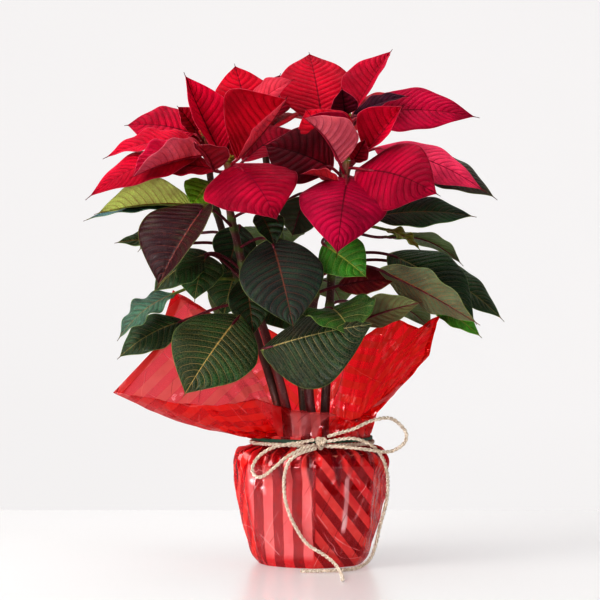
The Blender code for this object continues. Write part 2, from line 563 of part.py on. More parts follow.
def make_wrap(look):
    """The film as one thin body: rows from foot to edge on its middle surface, thickened to both sides."""
    rows = wrap_rings()
    count = WRAP_COLUMNS
    shape = bmesh.new()
    across = np.roll(rows, -1, axis=1) - np.roll(rows, 1, axis=1)
    along = np.gradient(rows, axis=0)
    normals = np.cross(across, along)
    normals /= np.linalg.norm(normals, axis=2, keepdims=True)
    normals[0] = 0.5 * normals[0] + np.array([0, 0, -0.5])
    outer = rows + normals * FILM / 2
    inner = rows - normals * FILM / 2
    outer[0, :, 2] = 0.0
    inner[0, :, 2] = FILM
    sides = []
    for points in (outer, inner):
        sides.append([[shape.verts.new(Vector(p) * MM) for p in row] for row in points])
    for verts, way in zip(sides, (1, -1)):
        for low, high in zip(verts, verts[1:]):
            for i in range(count):
                j = (i + 1) % count
                for corners in ((low[i], low[j], high[j]), (low[i], high[j], high[i])):
                    shape.faces.new(corners[::way])
    for centre_height, ring, way in ((0.0, sides[0][0], -1), (FILM, sides[1][0], 1)):
        middle = shape.verts.new(Vector((0, 0, centre_height)) * MM)
        for i in range(count):
            shape.faces.new((middle, ring[i], ring[(i + 1) % count])[::way])
    for i in range(count):
        j = (i + 1) % count
        shape.faces.new((sides[0][-1][i], sides[0][-1][j], sides[1][-1][j], sides[1][-1][i]))
    bmesh.ops.recalc_face_normals(shape, faces=shape.faces)
    return finish(object_from("wrap", shape), "wrap", look, smooth=False)


def ring_tube(name, radius, height, thick_r, thick_z, sides, segments):
    """A closed ring about Z with an oval section."""
    shape = bmesh.new()
    loops = []
    for i in range(segments):
        a = 2 * math.pi * i / segments
        loop = []
        for k in range(sides):
            b = 2 * math.pi * (k + 0.5) / sides
            r = radius + thick_r * math.cos(b)
            loop.append(shape.verts.new(Vector((r * math.cos(a), r * math.sin(a),
                                                height + thick_z * math.sin(b))) * MM))
        loops.append(loop)
    for i in range(segments):
        low, high = loops[i], loops[(i + 1) % segments]
        for k in range(sides):
            m = (k + 1) % sides
            shape.faces.new((low[k], low[m], high[m], high[k]))
    bmesh.ops.recalc_face_normals(shape, faces=shape.faces)
    return object_from(name, shape)


def make_ties(twine_look, band_look):
    pleat_edge = NECK_RADIUS + NECK_PLEAT + FILM / 2
    ring_radius = pleat_edge + GAP + TWINE / 2
    ring = ring_tube("twine_ring", ring_radius, TIE_HEIGHT, TWINE / 2, TWINE / 2, 6, 36)
    finish(ring, "twine_ring", twine_look)
    band_radius = pleat_edge + GAP + 0.4 + BAND_THICK / 2
    band = ring_tube("band", band_radius, TIE_HEIGHT + TWINE / 2 + GAP + BAND_HEIGHT / 2,
                     BAND_THICK / 2 * math.sqrt(2), BAND_HEIGHT / 2 * math.sqrt(2), 4, 36)
    finish(band, "band", band_look)
    bpy.ops.mesh.primitive_uv_sphere_add(segments=10, ring_count=6, radius=MM,
                                         location=[c * MM for c in KNOT], scale=KNOT_SIZE)
    knot = bpy.context.object
    bpy.ops.object.transform_apply(location=True, rotation=True, scale=True)
    finish(knot, "twine_knot", twine_look)
    for name, points in TWINE_RUNS.items():
        make_cord(name, smooth_line(points, 2), twine_look)


def make_cord(name, line, look):
    """A round cord along a line, as a bevelled curve with closed ends."""
    path = bpy.data.curves.new(name, "CURVE")
    path.dimensions = "3D"
    path.bevel_depth = TWINE / 2 * MM
    path.bevel_resolution = 2
    path.use_fill_caps = True
    run = path.splines.new("POLY")
    run.points.add(len(line) - 1)
    for point, place in zip(run.points, line):
        point.co = (*(place * MM), 1.0)
    path.materials.append(look)
    cord = bpy.data.objects.new(name, path)
    bpy.context.scene.collection.objects.link(cord)


def stem_line(name):
    return smooth_line(STEMS[name]["line"], 2)


def make_leafy_stem(name, look):
    """A stem with the leaves that grow from it, ending just under the flower."""
    stem = STEMS[name]
    line = stem_line(name)
    top = line[-1][2] - RECEPTACLE - GAP
    cut_line = np.vstack([line[line[:, 2] < top - 4], at_height(line, top)])
    radii = np.interp(cut_line[:, 2], (line[0][2], line[-1][2]), stem["radii"])
    body = tube(name, cut_line, radii, 7)
    members = [blade_solid(leaf, at_height(line, leaf["join"])) for leaf in LEAVES[name]]
    return finish(united(body, members), "leafy_stem_" + name, look)


def make_bloom(name, look):
    """The stem's last stretch with the bracts that grow from it."""
    line = stem_line(name)
    top = line[-1]
    foot = at_height(line, top[2] - RECEPTACLE)
    middle = at_height(line, top[2] - RECEPTACLE / 2)
    neck = STEMS[name]["radii"][1]
    crown = top - (0, 0, BRACT_TOP)
    body = tube(name, [foot, middle, crown, top], [neck] + [RECEPTACLE_RADIUS] * 3, 7)
    joins = top[2] - BRACT_TOP - BRACT_PITCH * np.arange(len(BRACTS[name]))
    members = [blade_solid(leaf, at_height(line, join)) for leaf, join in zip(BRACTS[name], joins)]
    return finish(united(body, members), "bracts_" + name, look)


def make_buds(name, look):
    """The small true flowers: one bud in the middle and a ring round it, standing out of a low cushion."""
    top = np.array(STEMS[name]["line"][-1], float) + (0, 0, GAP)
    cushion = tube("cushion", [top, top + (0, 0, 1.4)], [2.6, 3.8], 6)
    buds = []
    count = BUDS[name]
    for i in range(count):
        angle = 2 * math.pi * i / (count - 1)
        lean = 0.0 if i == count - 1 else 1.0
        way = np.array([math.cos(angle), math.sin(angle), 0]) * lean
        height = BUD_HEIGHT * (1.2 if lean == 0 else 0.85 + 0.15 * (i % 2))
        foot = top + way * BUD_RING + (0, 0, 0.5)
        line_up = [foot, foot + way * 1.3 + (0, 0, 0.5 * height), foot + way * 1.9 + (0, 0, height)]
        buds.append(tube("bud", line_up, [0.9, BUD_RADIUS, 0.8], 5))
    return finish(united(cushion, buds), "buds_" + name, look)


def main():
    for old in list(bpy.data.objects):
        bpy.data.objects.remove(old)
    looks = {
        "pot": material("pot", (0.07, 0.04, 0.03), 0.55),
        "soil": material("soil", (0.045, 0.03, 0.02), 0.95),
        "film": material("film", (0.8, 0.02, 0.03), 0.12),
        "twine": material("twine", (0.62, 0.5, 0.36), 0.9),
        "band": material("band", (0.03, 0.16, 0.09), 0.6),
        "leaf": material("leaf", (0.03, 0.12, 0.03), 0.45),
        "bract": material("bract", (0.6, 0.01, 0.03), 0.5),
        "bud": material("bud", (0.35, 0.38, 0.06), 0.5),
    }
    make_pot(looks["pot"])
    make_soil(looks["soil"])
    make_wrap(looks["film"])
    make_ties(looks["twine"], looks["band"])
    for name in STEMS:
        make_leafy_stem(name, looks["leaf"])
        make_bloom(name, looks["bract"])
        make_buds(name, looks["bud"])


main()
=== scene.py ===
# %% [markdown]
# A poinsettia on a bench: five stems of red bracts and dark leaves in a nursery pot, wrapped in striped
# red film that is gathered at the neck and tied with jute twine. The imported model is loaded first as a
# fixed frame, in metres. Every visible piece below is then modelled over it, and stands for one of its
# parts.

# %% Load the frame
import math

import bpy
import numpy as np
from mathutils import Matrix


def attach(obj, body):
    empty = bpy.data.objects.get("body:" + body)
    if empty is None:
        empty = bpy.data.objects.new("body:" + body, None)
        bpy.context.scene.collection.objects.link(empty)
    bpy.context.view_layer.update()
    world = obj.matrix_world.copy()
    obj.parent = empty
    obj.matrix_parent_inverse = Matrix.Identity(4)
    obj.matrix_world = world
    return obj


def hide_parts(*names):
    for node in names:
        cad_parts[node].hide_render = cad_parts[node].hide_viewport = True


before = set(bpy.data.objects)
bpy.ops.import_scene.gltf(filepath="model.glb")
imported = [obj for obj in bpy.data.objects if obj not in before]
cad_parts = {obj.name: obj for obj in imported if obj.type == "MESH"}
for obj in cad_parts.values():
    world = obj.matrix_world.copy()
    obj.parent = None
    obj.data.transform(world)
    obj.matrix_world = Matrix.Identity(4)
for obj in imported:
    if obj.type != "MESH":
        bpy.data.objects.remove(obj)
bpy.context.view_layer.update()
MM = 0.001

# %% [markdown]
# The photograph was taken from the front with a long lens, level with the leaves. A long lens keeps the
# near and the far bracts at almost one scale. The camera could be turned to look at the plant's middle,
# but a level camera keeps every upright line upright, so it is placed at the height that it looks at.

# %% Camera
VIEW_DISTANCE = 1.6
VIEW_ACROSS = -0.0096
VIEW_HEIGHT = 0.2096
bpy.ops.object.select_all(action="DESELECT")
bpy.ops.object.camera_add(location=(VIEW_ACROSS, -VIEW_DISTANCE, VIEW_HEIGHT),
                          rotation=(math.radians(90), 0, 0))
camera = bpy.context.object
camera.data.lens = 120
camera.data.sensor_width = 36
bpy.context.scene.camera = camera
print("camera height:", VIEW_HEIGHT, "distance:", VIEW_DISTANCE)

# %% [markdown]
# A material is a tree of nodes that feed each other. Every node could be added and linked on lines of
# its own, but the trees of a film or a leaf would then fill pages. So each helper below adds one kind
# of node, links what it is given, and hands back the socket that the next node reads.

# %% Node helpers
def colour(code):
    """A colour from its hexadecimal code, as Blender's linear numbers."""
    parts = [int(code[i:i + 2], 16) / 255 for i in (0, 2, 4)]
    return tuple(c / 12.92 if c <= 0.04045 else ((c + 0.055) / 1.055) ** 2.4 for c in parts) + (1.0,)


def node(tree, kind, **settings):
    """A new shader node with its settings."""
    made = tree.nodes.new("ShaderNode" + kind)
    for name, value in settings.items():
        setattr(made, name, value)
    return made


def feed(tree, socket, source):
    """Links a source to a socket, or sets the socket to a plain value."""
    if isinstance(source, bpy.types.NodeSocket):
        tree.links.new(source, socket)
    else:
        socket.default_value = source


def maths(tree, operation, *values):
    """The result of one Math node."""
    made = node(tree, "Math", operation=operation)
    for socket, value in zip(made.inputs, values):
        feed(tree, socket, value)
    return made.outputs[0]


def times(tree, value, other):
    """The product of two values."""
    return maths(tree, "MULTIPLY", value, other)


def mixed(tree, share, low, high, kind="MIX"):
    """Two colours mixed by a share."""
    made = node(tree, "Mix", data_type="RGBA", blend_type=kind)
    for index, source in ((0, share), (6, low), (7, high)):
        feed(tree, made.inputs[index], source)
    return made.outputs[2]


def between(tree, value, low, high, start=0.0, end=1.0):
    """A soft step of a value, from start at low to end at high."""
    made = node(tree, "MapRange", interpolation_type="SMOOTHSTEP")
    for index, source in enumerate((value, low, high, start, end)):
        feed(tree, made.inputs[index], source)
    return made.outputs[0]


def noise(tree, scale, detail=3.0, roughness=0.55, stretch=None):
    """Noise on the object's own coordinates, from 0 to 1."""
    place = node(tree, "TexCoord").outputs["Object"]
    if stretch is not None:
        turned = node(tree, "Mapping")
        turned.inputs["Scale"].default_value = stretch
        feed(tree, turned.inputs["Vector"], place)
        place = turned.outputs[0]
    made = node(tree, "TexNoise")
    feed(tree, made.inputs["Vector"], place)
    for name, value in (("Scale", scale), ("Detail", detail), ("Roughness", roughness)):
        feed(tree, made.inputs[name], value)
    return made.outputs["Fac"]


def bump(tree, height, distance):
    """A normal that is bent by a height, whose full range is a distance in metres."""
    made = node(tree, "Bump")
    made.inputs["Distance"].default_value = distance
    feed(tree, made.inputs["Height"], height)
    return made.outputs["Normal"]


def new_material(name, **constants):
    """A Principled material with its constants set on the shader, as (material, tree, shader)."""
    made = bpy.data.materials.new(name)
    made.use_nodes = True
    shader = made.node_tree.nodes["Principled BSDF"]
    for socket, value in constants.items():
        shader.inputs[socket.replace("_", " ")].default_value = value
    return made, made.node_tree, shader


def new_group(name, inputs, outputs):
    """An empty node group with named number inputs and outputs, as (group, inner inputs, inner outputs)."""
    group = bpy.data.node_groups.new(name, "ShaderNodeTree")
    for label, value in inputs.items():
        socket = group.interface.new_socket(name=label, in_out="INPUT", socket_type="NodeSocketFloat")
        socket.default_value = value
    for label in outputs:
        group.interface.new_socket(name=label, in_out="OUTPUT", socket_type="NodeSocketFloat")
    entry = group.nodes.new("NodeGroupInput")
    leave = group.nodes.new("NodeGroupOutput")
    return group, entry.outputs, leave.inputs


print("white in linear numbers:", colour("FFFFFF"))

# %% [markdown]
# Most surfaces here have faint patches: worn, clouded, dusty or grainy. Each is noise that is cut off
# softly below one value and above another. As so many materials need it, it is made once as a node
# group, and each material places the group with a scale, a fineness and two limits of its own.

# %% Patches group
def patches_group():
    """Noise cut off softly below Low and above High, as a share from 0 to 1."""
    tree, entry, leave = new_group("soft patches", {"Scale": 100.0, "Detail": 3.0, "Roughness": 0.55,
                                                    "Low": 0.3, "High": 0.7}, ["Share"])
    spread = noise(tree, entry["Scale"], entry["Detail"], entry["Roughness"])
    feed(tree, leave["Share"], between(tree, spread, entry["Low"], entry["High"]))
    return tree


PATCHES_GROUP = patches_group()


def patches(tree, scale, detail, low, high, roughness=0.55):
    """The share of soft patches at a place, from the group set to these values."""
    placed = node(tree, "Group", node_tree=PATCHES_GROUP)
    for name, value in (("Scale", scale), ("Detail", detail), ("Roughness", roughness),
                        ("Low", low), ("High", high)):
        placed.inputs[name].default_value = value
    return placed.outputs["Share"]


print("patches group outputs:", [s.name for s in PATCHES_GROUP.interface.items_tree if s.in_out == "OUTPUT"])

# %% [markdown]
# The bench is a white slab whose far edge shows behind the pot, and beyond it is a pale wall. A bare
# white plane would do for both, but a real bench has a little sheen, and a wall is never quite even, so
# both get a material with faint patches in it. Standard colours are used for the picture, because a
# film-like curve turns deep red petals pink, and a high contrast keeps the shade between them dark.

# %% Bench and wall
BENCH_BACK = 0.396
WALL = 2.4  # how far behind the plant it stands, so that a view from behind is clear
WALL_GLOW = 0.62
BENCH_GLOW = 0.26


def stage_plane(name, corners, look):
    """A four-cornered backdrop plane."""
    bpy.ops.object.select_all(action="DESELECT")
    bpy.ops.mesh.primitive_plane_add(size=1)
    made = bpy.context.object
    made.name = name
    for vertex, corner in zip(made.data.vertices, corners):
        vertex.co = corner
    made.data.materials.append(look)
    return made


def stage_look(name, shade, patch_shade, roughness, glow):
    """A pale surface with faint patches that gives off a little light of its own, so that it stays white."""
    made, tree, shader = new_material(name, Roughness=roughness, Emission_Color=colour("F6F4F4"),
                                      Emission_Strength=glow)
    share = patches(tree, 2.2, 2.0, 0.3, 0.7)
    feed(tree, shader.inputs["Base Color"], mixed(tree, share, colour(shade), colour(patch_shade)))
    return made


bench_look = stage_look("bench", "A8A7A7", "A4A3A2", 0.3, BENCH_GLOW)
wall_look = stage_look("wall", "8E8D8D", "8A8989", 0.9, WALL_GLOW)
stage_plane("bench", [(-3, -3, 0), (3, -3, 0), (-3, BENCH_BACK, 0), (3, BENCH_BACK, 0)], bench_look)
stage_plane("wall", [(-6, WALL, -2.0), (6, WALL, -2.0), (-6, WALL, 4.0), (6, WALL, 4.0)], wall_look)
bpy.context.scene.view_settings.view_transform = "Standard"
bpy.context.scene.view_settings.look = "High Contrast"
print("bench ends", BENCH_BACK, "m behind the plant")

# %% [markdown]
# The light is bright and soft, as from wide windows on both sides of a white room. One small lamp would
# give hard shadows between the bracts. Three wide area lamps and a pale sky fill the shade instead,
# and their long shapes are what the shiny film mirrors as streaks. A weak card in front, low and narrow
# in its beam, lightens the pot, which lies in the shade of the leaves.

# %% Lights
def soft_light(name, place, target, size, power, tint=(1.0, 1.0, 1.0)):
    """A wide area lamp at a place, turned towards a target."""
    bpy.ops.object.select_all(action="DESELECT")
    bpy.ops.object.light_add(type="AREA", location=place)
    made = bpy.context.object
    made.name = name
    way = np.array(target, float) - place
    tilt, heading = math.acos(-way[2] / np.linalg.norm(way)), math.atan2(way[1], way[0])
    made.rotation_euler = (tilt, 0, heading - math.pi / 2)
    made.data.shape = "RECTANGLE"
    made.data.size, made.data.size_y = size
    made.data.energy = power
    made.data.color = tint
    return made


PLANT_MIDDLE = (0.0, 0.0, 0.22)
soft_light("window left", (-1.25, -0.75, 1.05), PLANT_MIDDLE, (0.8, 1.1), 20, (1.0, 0.99, 0.97))
soft_light("window right", (1.3, -1.25, 0.55), PLANT_MIDDLE, (0.35, 1.2), 6, (0.98, 0.99, 1.0))
soft_light("ceiling", (-0.15, 0.1, 1.6), PLANT_MIDDLE, (1.5, 1.3), 12)
card = soft_light("low card", (-0.55, -1.3, 0.16), (0.0, 0.0, 0.06), (0.8, 0.3), 0.45)
card.data.spread = math.radians(30)
sky = bpy.data.worlds.new("pale room")
sky.use_nodes = True
sky.node_tree.nodes["Background"].inputs["Color"].default_value = colour("F4F2F1")
sky.node_tree.nodes["Background"].inputs["Strength"].default_value = 0.06
bpy.context.scene.world = sky

# %% [markdown]
# The ties are jute twine: two plies twisted round each other, pale, and fuzzy with loose fibres. A
# round cable with a striped bump map looks like wire at its outline, so each ply is a thin tube that
# runs in a helix round the twine's own line, and fine hairs stand out of it. The line goes through the
# points of its route on one smooth curve, so the finished length can be measured before it is wound.

# %% Lines and tubes
PLY_RADIUS = 0.86
PLY_ORBIT = 0.68
PLY_PITCH = 7.5
HAIRS_PER_MM = 1.1
HAIR_LENGTH = 2.2


def unit(vector):
    """A vector, or each of several, made one long."""
    vector = np.asarray(vector, float)
    return vector / np.maximum(np.linalg.norm(vector, axis=-1, keepdims=True), 1e-9)


def smooth_line(points, steps):
    """A Catmull-Rom curve through the points, with that many steps between each two."""
    points = np.asarray(points, float)
    ends = np.vstack([2 * points[0] - points[1], points, 2 * points[-1] - points[-2]])
    made = []
    for i in range(1, len(ends) - 2):
        before, start, stop, after = ends[i - 1:i + 3]
        for t in np.arange(steps) / steps:
            made.append(0.5 * (2 * start + (stop - before) * t
                               + (2 * before - 5 * start + 4 * stop - after) * t ** 2
                               + (3 * start - before - 3 * stop + after) * t ** 3))
    return np.vstack(made + [points[-1]])


def line_length(line):
    """The way along a line, in the units of its points."""
    return float(np.linalg.norm(np.diff(line, axis=0), axis=1).sum())


def evenly(line, step):
    """The same line with its points about a step apart."""
    along = np.concatenate([[0], np.cumsum(np.linalg.norm(np.diff(line, axis=0), axis=1))])
    places = np.linspace(0, along[-1], max(2, int(along[-1] / step) + 1))
    return np.stack([np.interp(places, along, line[:, k]) for k in range(3)], axis=1)


def side_vectors(line):
    """Two directions across a line at each of its points, carried along it without a twist."""
    tangents = unit(np.gradient(line, axis=0))
    side = np.cross(tangents[0], (0.0, 0.0, 1.0))
    if np.linalg.norm(side) < 1e-3:
        side = np.array([1.0, 0.0, 0.0])
    sides = []
    for tangent in tangents:
        side = unit(side - side @ tangent * tangent)
        sides.append(side)
    sides = np.array(sides)
    return sides, np.cross(sides, tangents)


def tube(name, line, radii, roundness=1):
    """A round tube in millimetres along a line, drawn as a curve with a bevel and made a mesh."""
    bpy.ops.object.select_all(action="DESELECT")
    bpy.ops.curve.primitive_nurbs_path_add()
    made = bpy.context.object
    made.name = name
    path = made.data
    path.splines.clear()
    run = path.splines.new("POLY")
    run.points.add(len(line) - 1)
    run.points.foreach_set("co", np.hstack([line * MM, np.ones((len(line), 1))]).ravel())
    run.points.foreach_set("radius", np.broadcast_to(np.asarray(radii, float), len(line)).copy())
    path.bevel_depth = MM
    path.bevel_resolution = roundness
    path.use_fill_caps = True
    bpy.ops.object.convert(target="MESH")
    return bpy.context.object


def joined(name, pieces):
    """Several pieces made one."""
    bpy.ops.object.select_all(action="DESELECT")
    for piece in pieces:
        piece.select_set(True)
    bpy.context.view_layer.objects.active = pieces[0]
    bpy.ops.object.join()
    made = bpy.context.object
    made.name = made.data.name = name
    return made


def coloured(piece, attribute, value):
    """Gives a piece a colour attribute, the same all over or one value for each vertex."""
    layer = piece.data.attributes.new(attribute, "FLOAT_COLOR", "POINT")
    values = np.broadcast_to(np.asarray(value, float), (len(piece.data.vertices), 4))
    layer.data.foreach_set("color", values.ravel().copy())


def worn_by(piece, look, *nodes, slot=None):
    """Lets a piece ride on the plant in place of its solids, with its look."""
    if look is not None:
        piece.data.materials.clear()
        piece.data.materials.append(look)
    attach(piece, "root")
    if nodes:
        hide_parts(*nodes)
    print(piece.name, "triangles:", sum(len(p.vertices) - 2 for p in piece.data.polygons))


# %% Twine material
def twine_look():
    """Dry jute: pale straw with darker fibres along the plies."""
    made, tree, shader = new_material("jute twine", Roughness=0.92, Sheen_Weight=0.35, Sheen_Roughness=0.5)
    fibres = noise(tree, 900, 4.0, 0.65)
    straw = mixed(tree, between(tree, fibres, 0.35, 0.65), colour("AE9882"), colour("E6DACC"))
    faded = times(tree, patches(tree, 90, 2.0, 0.45, 0.75), 0.5)
    feed(tree, shader.inputs["Base Color"], mixed(tree, faded, straw, colour("C4AE96")))
    feed(tree, shader.inputs["Normal"], bump(tree, fibres, 0.0003))
    return made


TWINE_LOOK = twine_look()
print("made", TWINE_LOOK.name)

# %% Twist the plies and add the hairs
def hairs(line, draw):
    """Loose fibres: thin bent blades that stand out of a line."""
    line = evenly(line, 1 / HAIRS_PER_MM)
    side, up = side_vectors(line)
    along = unit(np.gradient(line, axis=0))
    count = len(line)
    turn = draw.uniform(0, 2 * np.pi, count)[:, None]
    out = np.cos(turn) * side + np.sin(turn) * up
    lean = draw.uniform(-1.6, 1.6, count)[:, None]
    reach = draw.uniform(0.3, 1.0, count)[:, None] ** 1.5 * HAIR_LENGTH
    root = line + out * PLY_RADIUS * 1.3
    bend = root + out * reach * 0.5 + along * lean * 0.5
    end = root + out * reach * 0.85 + along * lean * 1.5
    width = along * 0.05
    corners = np.stack([root - width, root + width, bend - width, bend + width, end], axis=1)
    corners[..., 2] = np.maximum(corners[..., 2], 0.1)  # none dips into the table
    return corners.reshape(-1, 3), count


def hair_piece(line, draw):
    """The loose fibres of a line as one mesh."""
    corners, count = hairs(line, draw)
    mesh = bpy.data.meshes.new("hairs")
    faces = []
    for i in range(0, 5 * count, 5):
        faces += [(i, i + 1, i + 3, i + 2), (i + 2, i + 3, i + 4)]
    mesh.from_pydata((corners * MM).tolist(), [], faces)
    made = bpy.data.objects.new("hairs", mesh)
    bpy.context.scene.collection.objects.link(made)
    return made


def twisted(name, line, draw, closed=False):
    """Two plies wound round a line, with their hairs, as one mesh."""
    line = evenly(line, 0.75)
    side, up = side_vectors(line)
    length = line_length(line)
    turns = round(length / PLY_PITCH) if closed else length / PLY_PITCH
    angle = np.linspace(0, 2 * np.pi * turns, len(line))[:, None]
    plies = []
    for start in (0.0, np.pi):
        path = line + PLY_ORBIT * (np.cos(angle + start) * side + np.sin(angle + start) * up)
        swell = PLY_RADIUS * (1 + 0.07 * np.sin(np.arange(len(line)) * 0.37 + start))
        plies.append(tube(name, path, swell, 2))
    return joined(name, plies + [hair_piece(line, draw)])


ROUTES = {
    "twine_loop_right": ((11.6, -54, 104), (21.5, -53, 107), (31, -53, 109.5), (42.5, -53, 115),
                         (53.5, -51, 118), (61, -46, 117.5), (68, -44, 113), (73, -43, 106), (72, -44, 99),
                         (65.5, -47, 94), (57, -51, 92), (43.5, -56, 94), (26.5, -58.5, 96.2),
                         (11.6, -56, 96.5)),
    "twine_loop_left": ((1.3, -55, 101.5), (-9.5, -55, 99.5), (-29, -53, 96), (-40.5, -51.5, 89.5),
                        (-46, -51, 81.5), (-46, -51, 75.5), (-42, -54, 72.5), (-36, -58, 75), (-29, -62, 81),
                        (-20.5, -64, 88.5), (-9.5, -62, 94.5), (1.3, -56.5, 97.6)),
    "twine_tail_right": ((11.6, -54, 100.2), (27, -53, 102.5), (38, -52, 101), (48.5, -50, 95), (55, -44, 86),
                         (58.5, -34, 75), (59.5, -28, 63), (58, -27, 49), (53.5, -28.5, 33), (50, -28, 18),
                         (45.5, -34, 7.5), (36, -49, 2.4), (20.5, -63, 1.9), (4, -66, 1.9), (-9, -67, 1.9)),
    "twine_tail_left": ((2.6, -58.4, 95.2), (-8.5, -66, 92.5), (-17, -68.5, 87), (-20.5, -67.5, 79.5),
                        (-22, -65, 70), (-21.5, -64, 60), (-19.5, -62.5, 50), (-14, -61, 36.5),
                        (-4, -58.5, 21.5), (8.5, -59, 13.5), (17, -66, 7.2), (21, -81, 3), (22, -98, 1.9),
                        (22, -116, 1.9)),
}
fibre_draw = np.random.default_rng(11)
ENDS = {"twine_loop_left": "object", "twine_loop_right": "object",
        "twine_tail_left": "bare", "twine_tail_right": "bare"}
for run_name, far_end in ENDS.items():
    route = smooth_line(ROUTES[run_name], 6)
    run = twisted(run_name + "_strands", route, fibre_draw)
    worn_by(run, TWINE_LOOK, run_name, slot="twine")

# %% [markdown]
# The knot pulls the four runs together in front. It could be a lump with a rope texture, but its turns
# can be seen from close by, so the same twine is wound through a small overhand knot. The ring round
# the neck is the same twine again, closed on itself.

# %% Knot and ring
KNOT = (6.5, -52.75, 99.4)
KNOT_REACH = (3.0, 1.5, 4.4)
RING_RADIUS = 48.6
TIE_HEIGHT = 96.5
turn = np.linspace(0, 2 * np.pi, 97)
knot_path = np.stack([
    KNOT[0] + KNOT_REACH[0] * (np.sin(turn) + 2 * np.sin(2 * turn)) / 2.6,
    KNOT[1] + KNOT_REACH[1] * -np.sin(3 * turn),
    KNOT[2] + KNOT_REACH[2] * (np.cos(turn) - 2 * np.cos(2 * turn)) / 2.9,
], axis=1)
turn = np.linspace(0, 2 * np.pi, 181)
ring_path = np.stack([RING_RADIUS * np.cos(turn), RING_RADIUS * np.sin(turn),
                      TIE_HEIGHT + 0.25 * np.sin(5 * turn)], axis=1)
for tied, path in (("twine_knot", knot_path), ("twine_ring", ring_path)):
    worn_by(twisted(tied + "_strands", path, fibre_draw, closed=True), TWINE_LOOK, tied, slot="twine")

# %% [markdown]
# An elastic band holds the film above the twine, and only glimpses of it show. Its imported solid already
# has the right shape, so it stays and gets a rubber finish: dark green, slightly dusty, with fine ribs.

# %% Band material
band_look, tree, shader = new_material("green elastic", Roughness=0.6)
dust = noise(tree, 220, 4.0)
dusty = between(tree, dust, 0.4, 0.7)
feed(tree, shader.inputs["Base Color"], mixed(tree, dusty, colour("0F3D2A"), colour("2A5C43")))
feed(tree, shader.inputs["Roughness"], between(tree, dust, 0.3, 0.7, 0.45, 0.75))
feed(tree, shader.inputs["Normal"], bump(tree, noise(tree, 60, 2.0, stretch=(1, 1, 30)), 0.0003))
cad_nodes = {o.name: o for o in bpy.data.objects if o.type == "MESH"}
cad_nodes["band"].material_slots[0].material = band_look

# %% [markdown]
# Bracts and leaves are the plant. Each is a thin curved blade with a midrib, veins that curve towards
# the tip, and skin that swells between the veins. A flat card with a painted vein pattern could do from
# afar, but its outline and shine stay flat. So a fine grid is bent into the blade's own surface, the
# swellings are raised in the mesh, and the colour pattern follows attributes that the grid carries.

# %% Blade surface
TIP_HALF_WIDTH = 0.16
PETIOLE_RADIUS = 1.2
PETIOLE_RISE = 0.003


def pair(value):
    """A value for each half of a blade."""
    return value if isinstance(value, tuple) else (value, value)


def blade(name, join, base, tip, face, width, bow=5.0, fold=12.0, curl=-14.0, lobe=0.05, wave=1.0,
          broad=0.4):
    """One leaf or bract. join is the height on its stem, base and tip are the ends of its midrib and face
    is the way that its upper side looks. bow is how far the midrib arches. fold and curl are in degrees,
    for both halves or (left, right). lobe is how far the base reaches back beside the stalk, wave is how
    far the margin ripples, and broad says how far along the midrib the blade is widest."""
    return dict(name=name, join=join, base=base, tip=tip, face=face, width=width, bow=bow,
                fold=pair(fold), curl=pair(curl), lobe=lobe, wave=wave, broad=broad)


def bract(name, *shape, **details):
    """A bract, whose height on the stem follows from its place in the list, from the top down."""
    return blade(name, None, *shape, **details)


def outline(u, broad):
    """Half width of a blade along its midrib, as a share of the greatest.

    It is round at the base and runs out in a hair at the tip.
    """
    rise = np.sin(np.pi / 2 * np.clip(u / broad, 0, 1)) ** 0.72
    fall = (1 - np.clip((u - broad) / (0.955 - broad), 0, 1) ** 1.9) ** 1.2
    return np.where(u < broad, rise, np.maximum(fall, 0.2 * (1 - u)))


def blade_points(leaf, u, v):
    """Points of a blade's middle surface, u along the midrib from 0 to 1 and v across it from -1 to 1."""
    base, tip = np.array(leaf["base"], float), np.array(leaf["tip"], float)
    chord = tip - base
    length = np.linalg.norm(chord)
    face = np.array(leaf["face"], float)
    up = unit(face - face @ chord * chord / length ** 2)
    middle = (base + tip) / 2 + up * 2 * leaf["bow"]
    u, v = np.broadcast_arrays(np.asarray(u, float), np.asarray(v, float))
    a, b, c = ((1 - u) ** 2)[..., None], (2 * u * (1 - u))[..., None], (u ** 2)[..., None]
    spine = a * base + b * middle + c * tip
    along = unit(2 * (1 - u)[..., None] * (middle - base) + 2 * u[..., None] * (tip - middle))
    normal = unit(up - (along @ up)[..., None] * along)
    right = np.cross(along, normal)
    shape = outline(u, leaf["broad"])
    half = np.maximum(leaf["width"] / 2 * shape, TIP_HALF_WIDTH)
    side = np.abs(v)
    fold = np.radians(np.where(v < 0, leaf["fold"][0], leaf["fold"][1]))
    curl = np.radians(np.where(v < 0, leaf["curl"][0], leaf["curl"][1]))
    curl = np.where(np.abs(curl) < 1e-3, 1e-3, curl)
    out = half / curl * (np.sin(fold + curl * side) - np.sin(fold)) * np.sign(v)
    lift = half / curl * (np.cos(fold) - np.cos(fold + curl * side))
    ripple = leaf["wave"] * side ** 2 * np.sin(2 * np.pi * (3.3 * u + 0.21 * leaf["width"])) * shape
    swept = leaf["lobe"] * length * side ** 1.6 * (1 - u) ** 3
    return spine + right * out[..., None] + normal * (lift + ripple)[..., None] - along * swept[..., None]


def blade_normals(leaf, u, v, step=0.01):
    """The upper side's normals at the same places."""
    low_u, high_u = np.clip(u - step, 0, 1), np.clip(u + step, 0, 1)
    low_v, high_v = np.clip(v - step, -1, 1), np.clip(v + step, -1, 1)
    along = blade_points(leaf, high_u, v) - blade_points(leaf, low_u, v)
    across = blade_points(leaf, u, high_v) - blade_points(leaf, u, low_v)
    return unit(np.cross(across, along))


